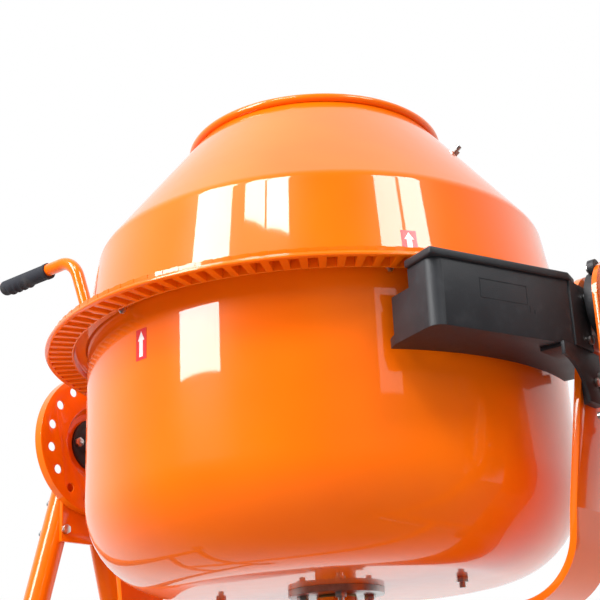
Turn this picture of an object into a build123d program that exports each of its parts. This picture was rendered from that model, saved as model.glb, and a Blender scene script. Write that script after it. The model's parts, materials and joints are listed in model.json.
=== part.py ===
from build123d import *
from math import acos, atan2, cos, hypot, pi, radians, sin, sqrt
import os

# Tilting-drum concrete mixer, millimetres.
# The model is drawn in a working frame: the drum turns about Z at X = Y = 0, the drum tilts
# about the line along X at height AXIS_H, the motor is on the +X side and the floor is Z = 0.
# At the end everything is moved so that the origin is at the middle of the base.

# ---- Driving dimensions -----------------------------------------------------------------
AXIS_H = 900.0            # height of the tilt axis over the floor

# Ring gear and pinion
RING_TEETH = 108
PINION_TEETH = 12
TOOTH_PITCH = 20.0        # along the pitch circle of the ring gear
GEAR_FACE = 20.0          # length of the pinion's teeth
TOOTH_ADDENDUM = 6.0      # pinion tooth above its pitch circle
TOOTH_DEDENDUM = 8.0
RIB_DEPTH = 4.4           # how far the ring's ribs reach past the pitch plane
POCKET_WIDTH = 10.8       # gap between two ribs of the ring gear
POCKET_MARGIN = 4.0       # pocket beyond each end of the pinion's teeth
RING_LIP = 6.0            # wall outside the pockets
RING_HEIGHT = 17.0
RING_WEB = 4.0            # plate inside the pockets, bolted to the drum

# Drum
WALL_R = 310.0            # outside of the lower drum's wall
SHEET = 2.0
DRUM_DEPTH = 300.0        # bottom below the ring gear's lower plane
KNUCKLE_R = 110.0         # round edge of the bottom
WEB_CLEARANCE = 2.5       # ring gear bore over the wall
FLANGE_WIDTH = 17.5       # flange of both drum halves
BAND_STEP = 4.0           # upper half's band outside the lower half's wall
SHOULDER_R = 297.0
SHOULDER_H = 130.0        # above the ring gear's lower plane
SHOULDER_ROUND = 24.0
MOUTH_R = 170.0
MOUTH_H = 291.0
BEAD_R = 5.5              # rolled rim of the mouth
FLANGE_BOLTS = 6
FIRST_BOLT_ANGLE = -98.5
PADDLE_ANGLE = 13.0
PADDLE_T = 4.0
PADDLE_BOLT_H = 250.0     # upper paddle bolt above the ring gear's lower plane
PADDLE_FOOT_R = 165.0     # lower paddle bolt from the drum's axis
TAB_GAP = 1.0             # behind the middle of a flat tab inside the round wall
BOLT_R = 4.0
SMALL_BOLT_R = 3.0
BOLT_ROOM = 0.3           # radial room of a bolt in its hole

# Drum spindle and its bearing
SPINDLE_R = 15.0
SPINDLE_FLANGE_R = 60.0
SPINDLE_FLANGE_T = 8.0
SPINDLE_BOLT_R = 42.0     # circle of the spindle's bolts
HOUSING_BOLT_R = 30.0     # circle of the bearing housing's bolts
HOUSING_BASE_T = 7.0
THRUST_ROOM = 3.0         # between housing and spindle flange, for the bush's collar
FIT = 0.05                # radial clearance of every running fit

# Yoke
YOKE_X = 384.0            # middle of the upright arms
YOKE_T = 8.0
YOKE_WIDTH = 80.0
YOKE_HEAD = 40.0          # arm above the tilt axis
YOKE_LEAN = 30.0          # how far the arms lean in towards the bottom
YOKE_BOTTOM = 315.0       # middle of the bottom bar below the tilt axis
YOKE_CORNER_R = 105.0

# Trunnions and bushes
TRUNNION_R = 25.0         # hollow one, motor side
TRUNNION_BORE_R = 15.0
PIN_R = 15.0              # solid one, handle side
SHAFT_R = 10.0            # pinion shaft
BUSH_WALL = 6.0
BUSH_COVER_R = 45.0       # black bearing cover, motor side
BUSH_COVER_GAP = 10.6     # outside the arm, past the guard's screw heads
BUSH_SCREW_R = 2.6

# Locking disc and lever
DISC_X = 450.0            # face towards the drum
DISC_R = 108.0
DISC_T = 3.0
DISC_RIM = 14.0
DISC_DISH_R = 58.0
DISC_DISH = 12.0
HOLE_CIRCLE_R = 88.0
HOLE_R = 6.7
HOLES = 16
LEVER_ANGLE = 10.5        # lever from upright, towards the front
LEVER_X = 416.0
LEVER_PIVOT = 70.0        # below the tilt axis
LEVER_TUBE_R = 10.0
LEVER_HOLE_R = 22.0       # hole of the lever's plate, around the trunnion
LEVER_PLATE_T = 6.0
LEVER_PIN_R = 5.0
LEVER_TOP = 296.0
LEVER_TOP_X = 451.0
LEVER_END_X = 626.0
LOCK_TRAVEL = 3.6         # degrees from clear of the disc to fully in
LOCK_PIN_R = 5.0
LOCK_PIN_REACH = 4.0      # tip behind the disc when locked
LOCK_PIN_TAPER = 3.0
GRIP_R = 12.5
GRIP_LENGTH = 118.0

# Guard over the pinion
GUARD_TURN = 20.5         # outer face from the fore-and-aft direction
GUARD_LENGTH = 181.0
GUARD_WIDTH = 74.0
GUARD_CORNER = (391.7, -68.7)
GUARD_TOP = 18.0          # above the tilt axis
GUARD_BOTTOM = -55.5
GUARD_T = 3.0
GUARD_CORNER_R = 14.0     # rounded front corner
GUARD_REAR = 54.0         # rear wall behind the tilt axis, past the pinion's teeth
LID_T = 9.0
LID_OVERHANG = 3.5
GUARD_FLANGE_T = 6.0
GUSSET_T = 4.0
GUSSET_REACH = 52.0       # in front of the arm
GUSSET_DROP = 58.0
NUT_ROOM = 37.0           # guard below the ring gear's plane where the flange nuts pass

# Frame
TUBE_R = 19.0
TUBE_T = 2.5
HEAD_T = 6.0
HEAD_WIDTH = 104.0
LEG_SPREAD = 250.0        # leg foot from the middle plane
LEG_TOP_Y = 26.0
LEG_TOP_DROP = 62.0       # below the tilt axis
LEG_BOLT_DROPS = (85.0, 132.0)
HEAD_DROP = 150.0         # head plate below the tilt axis
FOOT_BAR_HALF = 320.0
FOOT_H = 18.0             # rubber foot under the bar
BRACE_H = 260.0
WHEEL_R = 100.0
WHEEL_WIDTH = 44.0
WHEEL_Y = 312.0
AXLE_R = 10.0

# Motor unit
BOX_HALF = 95.0
BOX_TOP = 95.0            # above the tilt axis
BOX_BOTTOM = 236.0        # below the tilt axis
BOX_DEPTH = 200.0
BOX_WALL = 3.0
BOX_CORNER = 32.0
PULLEY_R = 84.0
PULLEY_W = 20.0
MOTOR_PULLEY_R = 14.0
MOTOR_DROP = 145.0        # motor shaft below the tilt axis
MOTOR_R = 62.0
MOTOR_LENGTH = 118.0
MOTOR_SHAFT_R = 8.0
BELT_T = 3.0
BELT_GAP = 0.4
BUTTON_TRAVEL = 3.0
BUTTON_R = 12.4
SWITCH_FRONT = 9.0        # switch face in front of the cover
SWITCH_RISE = 8.0         # above the tilt axis
SWITCH_INSET = 90.0       # from the box's back plate
BUTTON_PITCH = 34.0
INLET_INSET = 60.0
INLET_REACH = 26.0        # socket below the box

# ---- Worked out from the driving dimensions ---------------------------------------------
PITCH_R = RING_TEETH * TOOTH_PITCH / (2 * pi)
PINION_PITCH_R = PINION_TEETH * TOOTH_PITCH / (2 * pi)
RING_Z = AXIS_H + PINION_PITCH_R - RIB_DEPTH        # lower plane of the ring gear
POCKET_IN = PITCH_R - GEAR_FACE / 2 - POCKET_MARGIN
POCKET_OUT = PITCH_R + GEAR_FACE / 2 + POCKET_MARGIN
RING_R = POCKET_OUT + RING_LIP
WEB_R = WALL_R + WEB_CLEARANCE
WEB_Z = RING_Z + 8.0
JOINT_Z = WEB_Z + RING_WEB                          # underside of the drum's two flanges
FLANGE_R = WALL_R + FLANGE_WIDTH
FLANGE_BOLT_R = FLANGE_R - 7.0
CONE_BASE_R = WALL_R + BAND_STEP
BOTTOM_Z = RING_Z - DRUM_DEPTH
SHOULDER_Z = RING_Z + SHOULDER_H
MOUTH_Z = RING_Z + MOUTH_H
CONE_SLOPE = atan2(SHOULDER_R - MOUTH_R, MOUTH_Z - SHOULDER_Z)
CONE_WALL = SHEET / cos(CONE_SLOPE)
PADDLE_BOLT_Z = RING_Z + PADDLE_BOLT_H
YOKE_FLOOR = AXIS_H - YOKE_BOTTOM + YOKE_T / 2      # top face of the bottom bar
ARM_OUT = YOKE_X + YOKE_T / 2
ARM_IN = YOKE_X - YOKE_T / 2
LEFT_HEAD_X = DISC_X + DISC_T + DISC_DISH           # inner face of the left head plate
LEFT_LEG_X = LEFT_HEAD_X + HEAD_T + TUBE_R
RIGHT_HEAD_X = ARM_OUT + 24.0
RIGHT_LEG_X = RIGHT_HEAD_X + HEAD_T + TUBE_R
BOX_X = RIGHT_LEG_X + TUBE_R + 2.0
PULLEY_X = BOX_X + 18.0
MOTOR_X = PULLEY_X + PULLEY_W + 14.0
MOTOR_Z = AXIS_H - MOTOR_DROP
FOOT_BAR_Z = FOOT_H + TUBE_R
LEG_TOP_Z = AXIS_H - LEG_TOP_DROP
BOX_LOW_Z = AXIS_H - BOX_BOTTOM
SWITCH_Z = AXIS_H + SWITCH_RISE
SWITCH_X = BOX_X + BOX_WALL + SWITCH_INSET
INLET_X = BOX_X + BOX_WALL + INLET_INSET

UP = (0, 0, 1)
X_AXIS = Axis((0, 0, AXIS_H), (1, 0, 0))
BOTTOM_ALIGN = (Align.CENTER, Align.CENTER, Align.MIN)


# ---- Small helpers ----------------------------------------------------------------------
def rod(start, direction, radius, length, bore=0.0):
    """Cylinder, or a pipe where bore is given, from a start point along a direction."""
    plane = Plane(origin=start, z_dir=direction)
    body = plane * Cylinder(radius, length, align=BOTTOM_ALIGN)
    if bore:
        body -= plane * Cylinder(bore, length, align=BOTTOM_ALIGN)
    return body


def rod_between(start, end, radius, bore=0.0):
    line = Vector(*end) - Vector(*start)
    return rod(start, line, radius, line.length, bore)


def block(x0, x1, y0, y1, z0, z1):
    centre = Pos((x0 + x1) / 2, (y0 + y1) / 2, (z0 + z1) / 2)
    return centre * Box(abs(x1 - x0), abs(y1 - y0), abs(z1 - z0))


def outline(points, rounds=()):
    """Flat face in the XZ plane through (r, z) points, with some corners rounded."""
    face = make_face(Plane.XZ * Polyline(*points, close=True))
    for (r, z), radius in rounds:
        corner = min(face.vertices(), key=lambda v: hypot(v.X - r, v.Z - z))
        face = fillet(corner, radius)
    return face


def turned(points, rounds=(), arc=360.0):
    """Solid of revolution about the drum's axis."""
    return revolve(outline(points, rounds), Axis.Z, revolution_arc=arc)


def turned_x(points, height=AXIS_H, y=0.0):
    """Solid of revolution about a line along X, from (x, radius) points."""
    face = make_face(Plane.XZ * Polyline(*points, close=True))
    return Pos(0, y, height) * revolve(face, Axis.X)


def around_drum(piece, angle):
    return piece.rotate(Axis.Z, angle)


def hexagon(start, direction, across, height, bore=0.0):
    plane = Plane(origin=start, z_dir=direction)
    prism = extrude(plane * RegularPolygon(across / sqrt(3), 6), height)
    if bore:
        prism -= plane * Cylinder(bore, height, align=BOTTOM_ALIGN)
    return prism


def bolt_and_nut(head_face, direction, radius, grip):
    """Bolt through a stack of plates, with its nut: one solid, head at the start."""
    away = Vector(*direction).normalized()
    start = Vector(*head_face)
    head = hexagon(start, -away, 3.2 * radius, 1.3 * radius)
    shank = rod(start, away, radius, grip + 3.2 * radius)
    nut = hexagon(start + away * grip, away, 3.2 * radius, 1.6 * radius)
    return head + shank + nut


def screw(head_face, direction, radius, length):
    """Pan-head screw whose head stands on the given face."""
    away = Vector(*direction).normalized()
    start = Vector(*head_face)
    return rod(start, -away, 2 * radius, 1.2 * radius) + rod(start, away, radius, length)


def group(pieces):
    return Compound(children=list(pieces))


def rounded_plate(x, thick, y_half, z_low, z_high, radius):
    """Plate across X with four rounded corners."""
    sketch = RectangleRounded(2 * y_half, z_high - z_low, radius)
    plane = Plane(origin=(x, 0, (z_low + z_high) / 2), x_dir=(0, 1, 0), z_dir=(1, 0, 0))
    return extrude(plane * sketch, thick)


# ---- Drum -------------------------------------------------------------------------------
def cone_r(z):
    """Outside radius of the upper drum's cone at a height."""
    share = (z - SHOULDER_Z) / (MOUTH_Z - SHOULDER_Z)
    return SHOULDER_R + share * (MOUTH_R - SHOULDER_R)


def flange_angles():
    return [FIRST_BOLT_ANGLE + 360.0 * k / FLANGE_BOLTS for k in range(FLANGE_BOLTS)]


def paddle_angles():
    return [PADDLE_ANGLE, PADDLE_ANGLE + 180.0]


def cone_normal():
    return Vector(cos(CONE_SLOPE), 0, sin(CONE_SLOPE))


def flange_holes(low, high):
    hole = rod((FLANGE_BOLT_R, 0, low), UP, SMALL_BOLT_R + BOLT_ROOM, high - low)
    return [around_drum(hole, angle) for angle in flange_angles()]


def make_drum_lower():
    inner = WALL_R - SHEET
    top = JOINT_Z + SHEET
    outer = turned(
        [
            (0, BOTTOM_Z), (WALL_R, BOTTOM_Z), (WALL_R, JOINT_Z), (FLANGE_R, JOINT_Z),
            (FLANGE_R, top), (0, top),
        ],
        [((WALL_R, BOTTOM_Z), KNUCKLE_R)],
    )
    hollow = turned(
        [(0, BOTTOM_Z + SHEET), (inner, BOTTOM_Z + SHEET), (inner, top + 1), (0, top + 1)],
        [((inner, BOTTOM_Z + SHEET), KNUCKLE_R - SHEET)],
    )
    shell = outer - hollow
    shell -= rod((0, 0, BOTTOM_Z - 1), UP, SPINDLE_R, SHEET + 2)
    for k in range(4):
        hole = rod((SPINDLE_BOLT_R, 0, BOTTOM_Z - 1), UP, BOLT_R + BOLT_ROOM, SHEET + 2)
        shell -= around_drum(hole, 45 + 90 * k)
    for angle in paddle_angles():
        hole = rod((PADDLE_FOOT_R, 0, BOTTOM_Z - 1), UP, BOLT_R + BOLT_ROOM, SHEET + 2)
        shell -= around_drum(hole, angle)
    for hole in flange_holes(JOINT_Z - 1, top + 1):
        shell -= hole
    return shell


def make_drum_upper():
    base = JOINT_Z + SHEET
    lip = base + SHEET
    edge = MOUTH_Z + 2.0
    wall = SHEET / cos(atan2(CONE_BASE_R - SHOULDER_R, SHOULDER_Z - lip))
    shell = turned(
        [
            (FLANGE_R, base), (FLANGE_R, lip), (CONE_BASE_R, lip), (SHOULDER_R, SHOULDER_Z),
            (cone_r(edge), edge), (cone_r(edge) - CONE_WALL, edge),
            (SHOULDER_R - wall, SHOULDER_Z - 0.5), (CONE_BASE_R - wall, base),
        ],
        [
            ((SHOULDER_R, SHOULDER_Z), SHOULDER_ROUND),
            ((SHOULDER_R - wall, SHOULDER_Z - 0.5), SHOULDER_ROUND - SHEET),
        ],
    )
    for hole in flange_holes(base - 1, lip + 1):
        shell -= hole
    start = Vector(cone_r(PADDLE_BOLT_Z), 0, PADDLE_BOLT_Z) - cone_normal() * 10
    for angle in paddle_angles():
        shell -= around_drum(rod(start, cone_normal(), BOLT_R + BOLT_ROOM, 20), angle)
    return shell


def make_mouth_rim(upper):
    centre_r = MOUTH_R + 0.3
    section = Plane(origin=(centre_r, 0, MOUTH_Z + BEAD_R), z_dir=(0, -1, 0)) * Circle(BEAD_R)
    return revolve(section, Axis.Z) - upper


def make_ring_gear():
    top = RING_Z + RING_HEIGHT
    ring = turned([
        (WEB_R, WEB_Z), (POCKET_IN - 3.5, WEB_Z), (POCKET_IN - 2.5, RING_Z), (RING_R, RING_Z),
        (RING_R, RING_Z + 3), (RING_R - 18, top), (FLANGE_R + 2, top),
        (FLANGE_R + 2, JOINT_Z), (WEB_R, JOINT_Z),
    ])
    length = POCKET_OUT - POCKET_IN
    pocket = block(
        POCKET_IN, POCKET_IN + length, -POCKET_WIDTH / 2, POCKET_WIDTH / 2, RING_Z - 1, RING_Z + 12
    )
    pockets = [around_drum(pocket, 360.0 * k / RING_TEETH) for k in range(RING_TEETH)]
    ring = ring - pockets
    for hole in flange_holes(WEB_Z - 1, JOINT_Z + 1):
        ring -= hole
    return ring


def make_flange_bolts():
    start = (FLANGE_BOLT_R, 0, JOINT_Z + 2 * SHEET)
    bolt = bolt_and_nut(start, (0, 0, -1), SMALL_BOLT_R, RING_WEB + 2 * SHEET)
    return group(around_drum(bolt, angle) for angle in flange_angles())


def paddle_blade():
    gap = 4.0
    inner_wall = WALL_R - SHEET - gap
    low = BOTTOM_Z + SHEET + 0.5
    face = make_face(Plane.XZ * Polyline(
        (cone_r(PADDLE_BOLT_Z) - CONE_WALL - gap, PADDLE_BOLT_Z),
        (SHOULDER_R - SHEET - gap, SHOULDER_Z - 2),
        (inner_wall, JOINT_Z), (inner_wall, BOTTOM_Z + KNUCKLE_R),
        (WALL_R - 0.42 * KNUCKLE_R, BOTTOM_Z + 0.42 * KNUCKLE_R),
        (WALL_R - KNUCKLE_R, low), (PADDLE_FOOT_R - 15, low),
        (PADDLE_FOOT_R - 15, low + 60), (inner_wall - 75, BOTTOM_Z + KNUCKLE_R + 40),
        (inner_wall - 70, JOINT_Z + 80), (cone_r(PADDLE_BOLT_Z) - 60, PADDLE_BOLT_Z),
        close=True,
    ))
    return Pos(0, PADDLE_T / 2, 0) * extrude(face, PADDLE_T, dir=(0, -1, 0))


def make_paddle(angle):
    """Bent plate: an upright blade with a bolted tab at each end."""
    wall_point = Vector(cone_r(PADDLE_BOLT_Z), 0, PADDLE_BOLT_Z) - cone_normal() * (SHEET + TAB_GAP)
    along = Vector(-sin(CONE_SLOPE), 0, cos(CONE_SLOPE))
    tab_plane = Plane(origin=wall_point, x_dir=along, z_dir=-cone_normal())
    tab = extrude(tab_plane * Rectangle(34, 30), PADDLE_T)
    low = BOTTOM_Z + SHEET
    foot = block(PADDLE_FOOT_R - 18, PADDLE_FOOT_R + 18, -15, 15, low, low + PADDLE_T)
    keep_in = block(0, WALL_R, -20, 20, low, MOUTH_Z)
    piece = (paddle_blade() + tab + foot) & keep_in
    piece -= rod(wall_point - cone_normal() * PADDLE_T, -cone_normal(), 9.5, 22)
    piece -= rod(wall_point + cone_normal() * 5, -cone_normal(), BOLT_R + BOLT_ROOM, 30)
    piece -= rod((PADDLE_FOOT_R, 0, low + PADDLE_T), UP, 9.5, 22)
    piece -= rod((PADDLE_FOOT_R, 0, low - 1), UP, BOLT_R + BOLT_ROOM, 30)
    return around_drum(piece, angle)


def make_paddle_bolts():
    stack = SHEET + TAB_GAP + PADDLE_T
    wall = Vector(cone_r(PADDLE_BOLT_Z), 0, PADDLE_BOLT_Z)
    upper = bolt_and_nut(wall - cone_normal() * stack, cone_normal(), BOLT_R, stack + 0.5)
    low = BOTTOM_Z + SHEET + PADDLE_T
    lower = bolt_and_nut((PADDLE_FOOT_R, 0, low), (0, 0, -1), BOLT_R, SHEET + PADDLE_T)
    pieces = []
    for angle in paddle_angles():
        pieces += [around_drum(upper, angle), around_drum(lower, angle)]
    return group(pieces)


def make_spindle():
    """Flanged shaft under the drum's bottom; its end stands below the yoke."""
    flange = rod((0, 0, BOTTOM_Z - SPINDLE_FLANGE_T), UP, SPINDLE_FLANGE_R, SPINDLE_FLANGE_T)
    shank_low = YOKE_FLOOR - YOKE_T - 16
    shank = rod((0, 0, shank_low), UP, SPINDLE_R, BOTTOM_Z - shank_low + SHEET)
    body = flange + shank
    for k in range(4):
        hole = rod((SPINDLE_BOLT_R, 0, BOTTOM_Z - 20), UP, BOLT_R + BOLT_ROOM, 30)
        body -= around_drum(hole, 45 + 90 * k)
    groove = rod((0, 0, YOKE_FLOOR - YOKE_T - 5), UP, SPINDLE_R + 1, 2, SPINDLE_R - 1.5)
    return body - groove


def make_spindle_bolts():
    bolt = bolt_and_nut(
        (SPINDLE_BOLT_R, 0, BOTTOM_Z + SHEET), (0, 0, -1), BOLT_R, SHEET + SPINDLE_FLANGE_T
    )
    return group(around_drum(bolt, 45 + 90 * k) for k in range(4))


def make_spindle_circlip():
    return rod((0, 0, YOKE_FLOOR - YOKE_T - 4.9), UP, SPINDLE_R + 6, 1.8, SPINDLE_R - 1.5)


def make_alignment_labels():
    """Two thin arrow labels, one on each drum half."""
    thick = 0.4
    span = 3.4
    outside = WALL_R + thick
    bottom = RING_Z - 62
    top = RING_Z - 25
    lower = turned([(WALL_R, bottom), (outside, bottom), (outside, top), (WALL_R, top)], arc=span)
    low_z = JOINT_Z + 2 * SHEET + 8
    high_z = low_z + 30

    def wall_r(z):
        share = (z - JOINT_Z - 2 * SHEET) / (SHOULDER_Z - JOINT_Z - 2 * SHEET)
        return CONE_BASE_R + share * (SHOULDER_R - CONE_BASE_R)

    upper = turned(
        [(wall_r(low_z), low_z), (wall_r(low_z) + thick, low_z), (wall_r(high_z) + thick, high_z),
         (wall_r(high_z), high_z)],
        arc=span,
    )
    return group([around_drum(lower, -96), around_drum(upper, -35)])


# ---- Yoke -------------------------------------------------------------------------------
def make_yoke_bow():
    """Flat bar bent to a U around the drum, with a rounded head on each arm."""
    low_x = YOKE_X - YOKE_LEAN
    straight_z = AXIS_H - YOKE_HEAD - 4.0
    floor_z = AXIS_H - YOKE_BOTTOM
    lean_low = floor_z + YOKE_CORNER_R * 0.9
    points = [
        (YOKE_X, AXIS_H), (YOKE_X, straight_z), (low_x, lean_low), (low_x - 12, floor_z),
        (-low_x + 12, floor_z), (-low_x, lean_low), (-YOKE_X, straight_z), (-YOKE_X, AXIS_H),
    ]
    corner = YOKE_CORNER_R * 0.72
    path = FilletPolyline(*[(x, 0, z) for x, z in points], radius=[60, 30, corner, corner, 30, 60])
    section = Plane(origin=(YOKE_X, 0, AXIS_H), z_dir=(0, 0, -1)) * Rectangle(YOKE_T, YOKE_WIDTH)
    bow = sweep(section, path=path)
    for side in (1, -1):
        x0 = side * YOKE_X - YOKE_T / 2
        bow += rod((x0, 0, AXIS_H), (1, 0, 0), YOKE_HEAD, YOKE_T)
    bow -= rod((ARM_IN - 1, 0, AXIS_H), (1, 0, 0), TRUNNION_R, YOKE_T + 2)
    bow -= rod((-ARM_OUT - 1, 0, AXIS_H), (1, 0, 0), PIN_R, YOKE_T + 2)
    bow -= rod((0, 0, YOKE_FLOOR - YOKE_T - 1), UP, SPINDLE_R + 1.0, YOKE_T + 2)
    for k in range(4):
        hole = rod((HOUSING_BOLT_R, 0, YOKE_FLOOR - YOKE_T - 1), UP, BOLT_R + BOLT_ROOM, YOKE_T + 2)
        bow -= around_drum(hole, 45 + 90 * k)
    for hole in guard_screw_holes(2.6):
        bow -= hole
    return bow


def make_drum_bearing_housing():
    height = BOTTOM_Z - SPINDLE_FLANGE_T - THRUST_ROOM - YOKE_FLOOR
    body = turned([
        (SPINDLE_R + BUSH_WALL, YOKE_FLOOR), (39, YOKE_FLOOR), (39, YOKE_FLOOR + HOUSING_BASE_T),
        (SPINDLE_R + BUSH_WALL + 5, YOKE_FLOOR + 9), (SPINDLE_R + BUSH_WALL + 5, YOKE_FLOOR + height),
        (SPINDLE_R + BUSH_WALL, YOKE_FLOOR + height),
    ])
    for k in range(4):
        hole = rod((HOUSING_BOLT_R, 0, YOKE_FLOOR - 1), UP, BOLT_R + BOLT_ROOM, 30)
        clear = rod((HOUSING_BOLT_R, 0, YOKE_FLOOR + HOUSING_BASE_T), UP, 8.0, 30)
        body -= around_drum(hole, 45 + 90 * k)
        body -= around_drum(clear, 45 + 90 * k)
    return body


def make_drum_bush():
    height = BOTTOM_Z - SPINDLE_FLANGE_T - THRUST_ROOM - YOKE_FLOOR
    sleeve = rod((0, 0, YOKE_FLOOR), UP, SPINDLE_R + BUSH_WALL, height, SPINDLE_R + FIT)
    collar_r = SPINDLE_R + BUSH_WALL + 4
    thrust = rod((0, 0, YOKE_FLOOR + height), UP, collar_r, THRUST_ROOM - 0.4, SPINDLE_R + FIT)
    return sleeve + thrust


def make_bearing_bolts():
    head = (HOUSING_BOLT_R, 0, YOKE_FLOOR + HOUSING_BASE_T)
    bolt = bolt_and_nut(head, (0, 0, -1), BOLT_R, YOKE_T + HOUSING_BASE_T)
    return group(around_drum(bolt, 45 + 90 * k) for k in range(4))


def make_right_trunnion():
    """Hollow stub: the pinion shaft passes through it."""
    length = BOX_X - 4.0 - ARM_IN
    tube = rod((ARM_IN, 0, AXIS_H), (1, 0, 0), TRUNNION_R, length, TRUNNION_BORE_R)
    return tube + rod((ARM_IN - 5, 0, AXIS_H), (1, 0, 0), TRUNNION_R + 8, 5, TRUNNION_BORE_R)


def make_shaft_bushes():
    ends = [ARM_IN - 5, BOX_X - 4.0 - 18.0]
    return group(
        rod((x, 0, AXIS_H), (1, 0, 0), TRUNNION_BORE_R, 18.0, SHAFT_R + FIT) for x in ends
    )


def make_left_trunnion():
    tip = -(LEFT_LEG_X + TUBE_R)
    start = -(ARM_IN - 5)
    pin = rod((start, 0, AXIS_H), (-1, 0, 0), PIN_R, start - tip)
    return pin + rod((start, 0, AXIS_H), (-1, 0, 0), PIN_R + 14, 5)


def make_trunnion_circlip():
    x = -(LEFT_HEAD_X + HEAD_T + 3.0)
    return rod((x, 0, AXIS_H), (-1, 0, 0), PIN_R + 6, 2.0, PIN_R)


# ---- Pinion guard -----------------------------------------------------------------------
def guard_points():
    """Plan corners of the guard: outer back, outer front and inner front."""
    turn = radians(GUARD_TURN)
    back = Vector(GUARD_CORNER[0], GUARD_CORNER[1])
    forward = Vector(-sin(turn), -cos(turn))
    inward = Vector(-cos(turn), sin(turn))
    front = back + forward * GUARD_LENGTH
    inner = front + inward * GUARD_WIDTH
    return back, front, inner


def guard_corners():
    """Plan corners of the guard from its rear inner corner round to its front inner one."""
    back, front, inner = guard_points()
    side = YOKE_WIDTH / 2 + 3.0
    wall_x = ARM_IN - 4.5
    return [(wall_x, GUARD_REAR), (wall_x, -side), (ARM_OUT - 2, -side), (back.X, back.Y), (front.X, front.Y),
            (inner.X, inner.Y)]


def guard_plan(reach=WALL_R + 9.0):
    """Plan face of the guard, from the drum's wall out to the arm."""
    corners = guard_corners()
    start_y = corners[0][1]
    start = (sqrt(reach ** 2 - start_y ** 2), start_y)
    end_angle = atan2(corners[-1][1], corners[-1][0])
    end = (reach * cos(end_angle), reach * sin(end_angle))
    mid_angle = (atan2(start[1], start[0]) + end_angle) / 2
    middle = (reach * cos(mid_angle), reach * sin(mid_angle))
    return make_face([ThreePointArc(end, middle, start), Polyline(start, *corners, end)])


def inset(corners, amount):
    """Corners of a closed polygon, run clockwise, with every side moved in by an amount."""
    sides = []
    for k, (x, y) in enumerate(corners):
        x2, y2 = corners[(k + 1) % len(corners)]
        length = hypot(x2 - x, y2 - y)
        normal = ((y2 - y) / length, -(x2 - x) / length)
        sides.append((normal, normal[0] * x + normal[1] * y + amount))
    moved = []
    for k in range(len(sides)):
        (a, b), c = sides[k - 1]
        (d, e), f = sides[k]
        det = a * e - b * d
        moved.append(((c * e - b * f) / det, (a * f - c * d) / det))
    return moved


def upright_edges(body, place, reach):
    """Edges along Z whose middle is near a place in plan."""
    return [e for e in body.edges().filter_by(Axis.Z)
            if hypot(e.center().X - place.X, e.center().Y - place.Y) < reach]


def make_pinion_guard():
    """Open-topped tray under the ring gear, with walls outside, in front and at the arm."""
    low = AXIS_H + GUARD_BOTTOM
    height = GUARD_TOP - GUARD_BOTTOM
    front = guard_points()[1]
    full = extrude(Pos(0, 0, low) * guard_plan(), height)
    full = fillet(upright_edges(full, front, 1.0), GUARD_CORNER_R)
    corners = guard_corners()
    open_side = [(WALL_R - 90, corners[-1][1] + 60), (WALL_R - 40, corners[0][1])]
    room_plan = make_face(Polyline(*inset(corners + open_side, GUARD_T), close=True))
    room = extrude(Pos(0, 0, low + GUARD_T) * room_plan, height)
    room = fillet(upright_edges(room, front, 2 * GUARD_T), GUARD_CORNER_R - GUARD_T)
    tray = full - room
    wall_hole = rod((ARM_IN - 20, 0, AXIS_H), (1, 0, 0), TRUNNION_R + 9.0, 30)
    drum_side = rod((0, 0, low + GUARD_T + 8), UP, WALL_R + 24.0, height)
    nut_room = rod((0, 0, RING_Z - NUT_ROOM), UP, RING_R + 1.0, height)
    tray = tray - wall_hole - drum_side - nut_room
    flange = block(ARM_OUT + 0.2, ARM_OUT + GUARD_FLANGE_T, GUARD_CORNER[1] + 2, -YOKE_WIDTH / 2 + 14,
                   low, AXIS_H + GUARD_TOP)
    tray = tray + flange
    for hole in guard_screw_holes(2.6):
        tray -= hole
    return tray


def make_guard_lid():
    """Overhanging lid on the guard's outer part; it stops short of the pinion."""
    z = AXIS_H + GUARD_TOP
    wide = make_face(Polyline(*inset(guard_corners() + [(WALL_R, 0)], -LID_OVERHANG), close=True))
    lid = extrude(Pos(0, 0, z) * wide, LID_T)
    keep = block(200, ARM_OUT + 12, -400, -YOKE_WIDTH / 2 - 5, z - 1, z + LID_T + 1)
    lid = lid & keep
    return lid - rod((0, 0, z - 1), UP, RING_R + 1.0, LID_T + 2)


def guard_screw_places():
    """(x of the head's seat, y, z) of the screws that hold the guard and its gusset to the arm."""
    low = AXIS_H + GUARD_BOTTOM
    y_arm = -YOKE_WIDTH / 2 + 7
    flange = [(ARM_OUT + GUARD_FLANGE_T, y_arm, z) for z in (low + 12, AXIS_H + 6)]
    gusset = [(ARM_OUT + GUSSET_T, -YOKE_WIDTH / 2 + 14, low - 34)]
    return flange + gusset


def guard_screw_holes(radius):
    return [rod((x + 1, y, z), (-1, 0, 0), radius, 28) for x, y, z in guard_screw_places()]


def make_guard_bracket(bow):
    """Quarter-round gusset on the arm's outer side, with a shelf under the guard's floor."""
    top = AXIS_H + GUARD_BOTTOM - 0.2
    y_front = -YOKE_WIDTH / 2 - GUSSET_REACH
    y_back = -YOKE_WIDTH / 2 + 28
    web = block(ARM_OUT, ARM_OUT + GUSSET_T, y_front, y_back, top - GUSSET_DROP, top)
    scoop = Pos(ARM_OUT - 5, y_front - 6, top - GUSSET_DROP - 10) * Rotation(0, 90, 0)
    web -= scoop * Cylinder(54, 40, align=BOTTOM_ALIGN)
    shelf = block(ARM_OUT - 28, ARM_OUT, y_front + 6, -YOKE_WIDTH / 2 - 3, top - 4, top)
    shelf &= rod((0, 0, top - 10), UP, 1000, 20, WALL_R + 12)
    pad = block(ARM_OUT - 8, ARM_OUT, -YOKE_WIDTH / 2 + 2, y_back, top - GUSSET_DROP, top - 16) - bow
    bracket = web + shelf + pad
    for hole in guard_screw_holes(2.6):
        bracket -= hole
    return bracket


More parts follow.
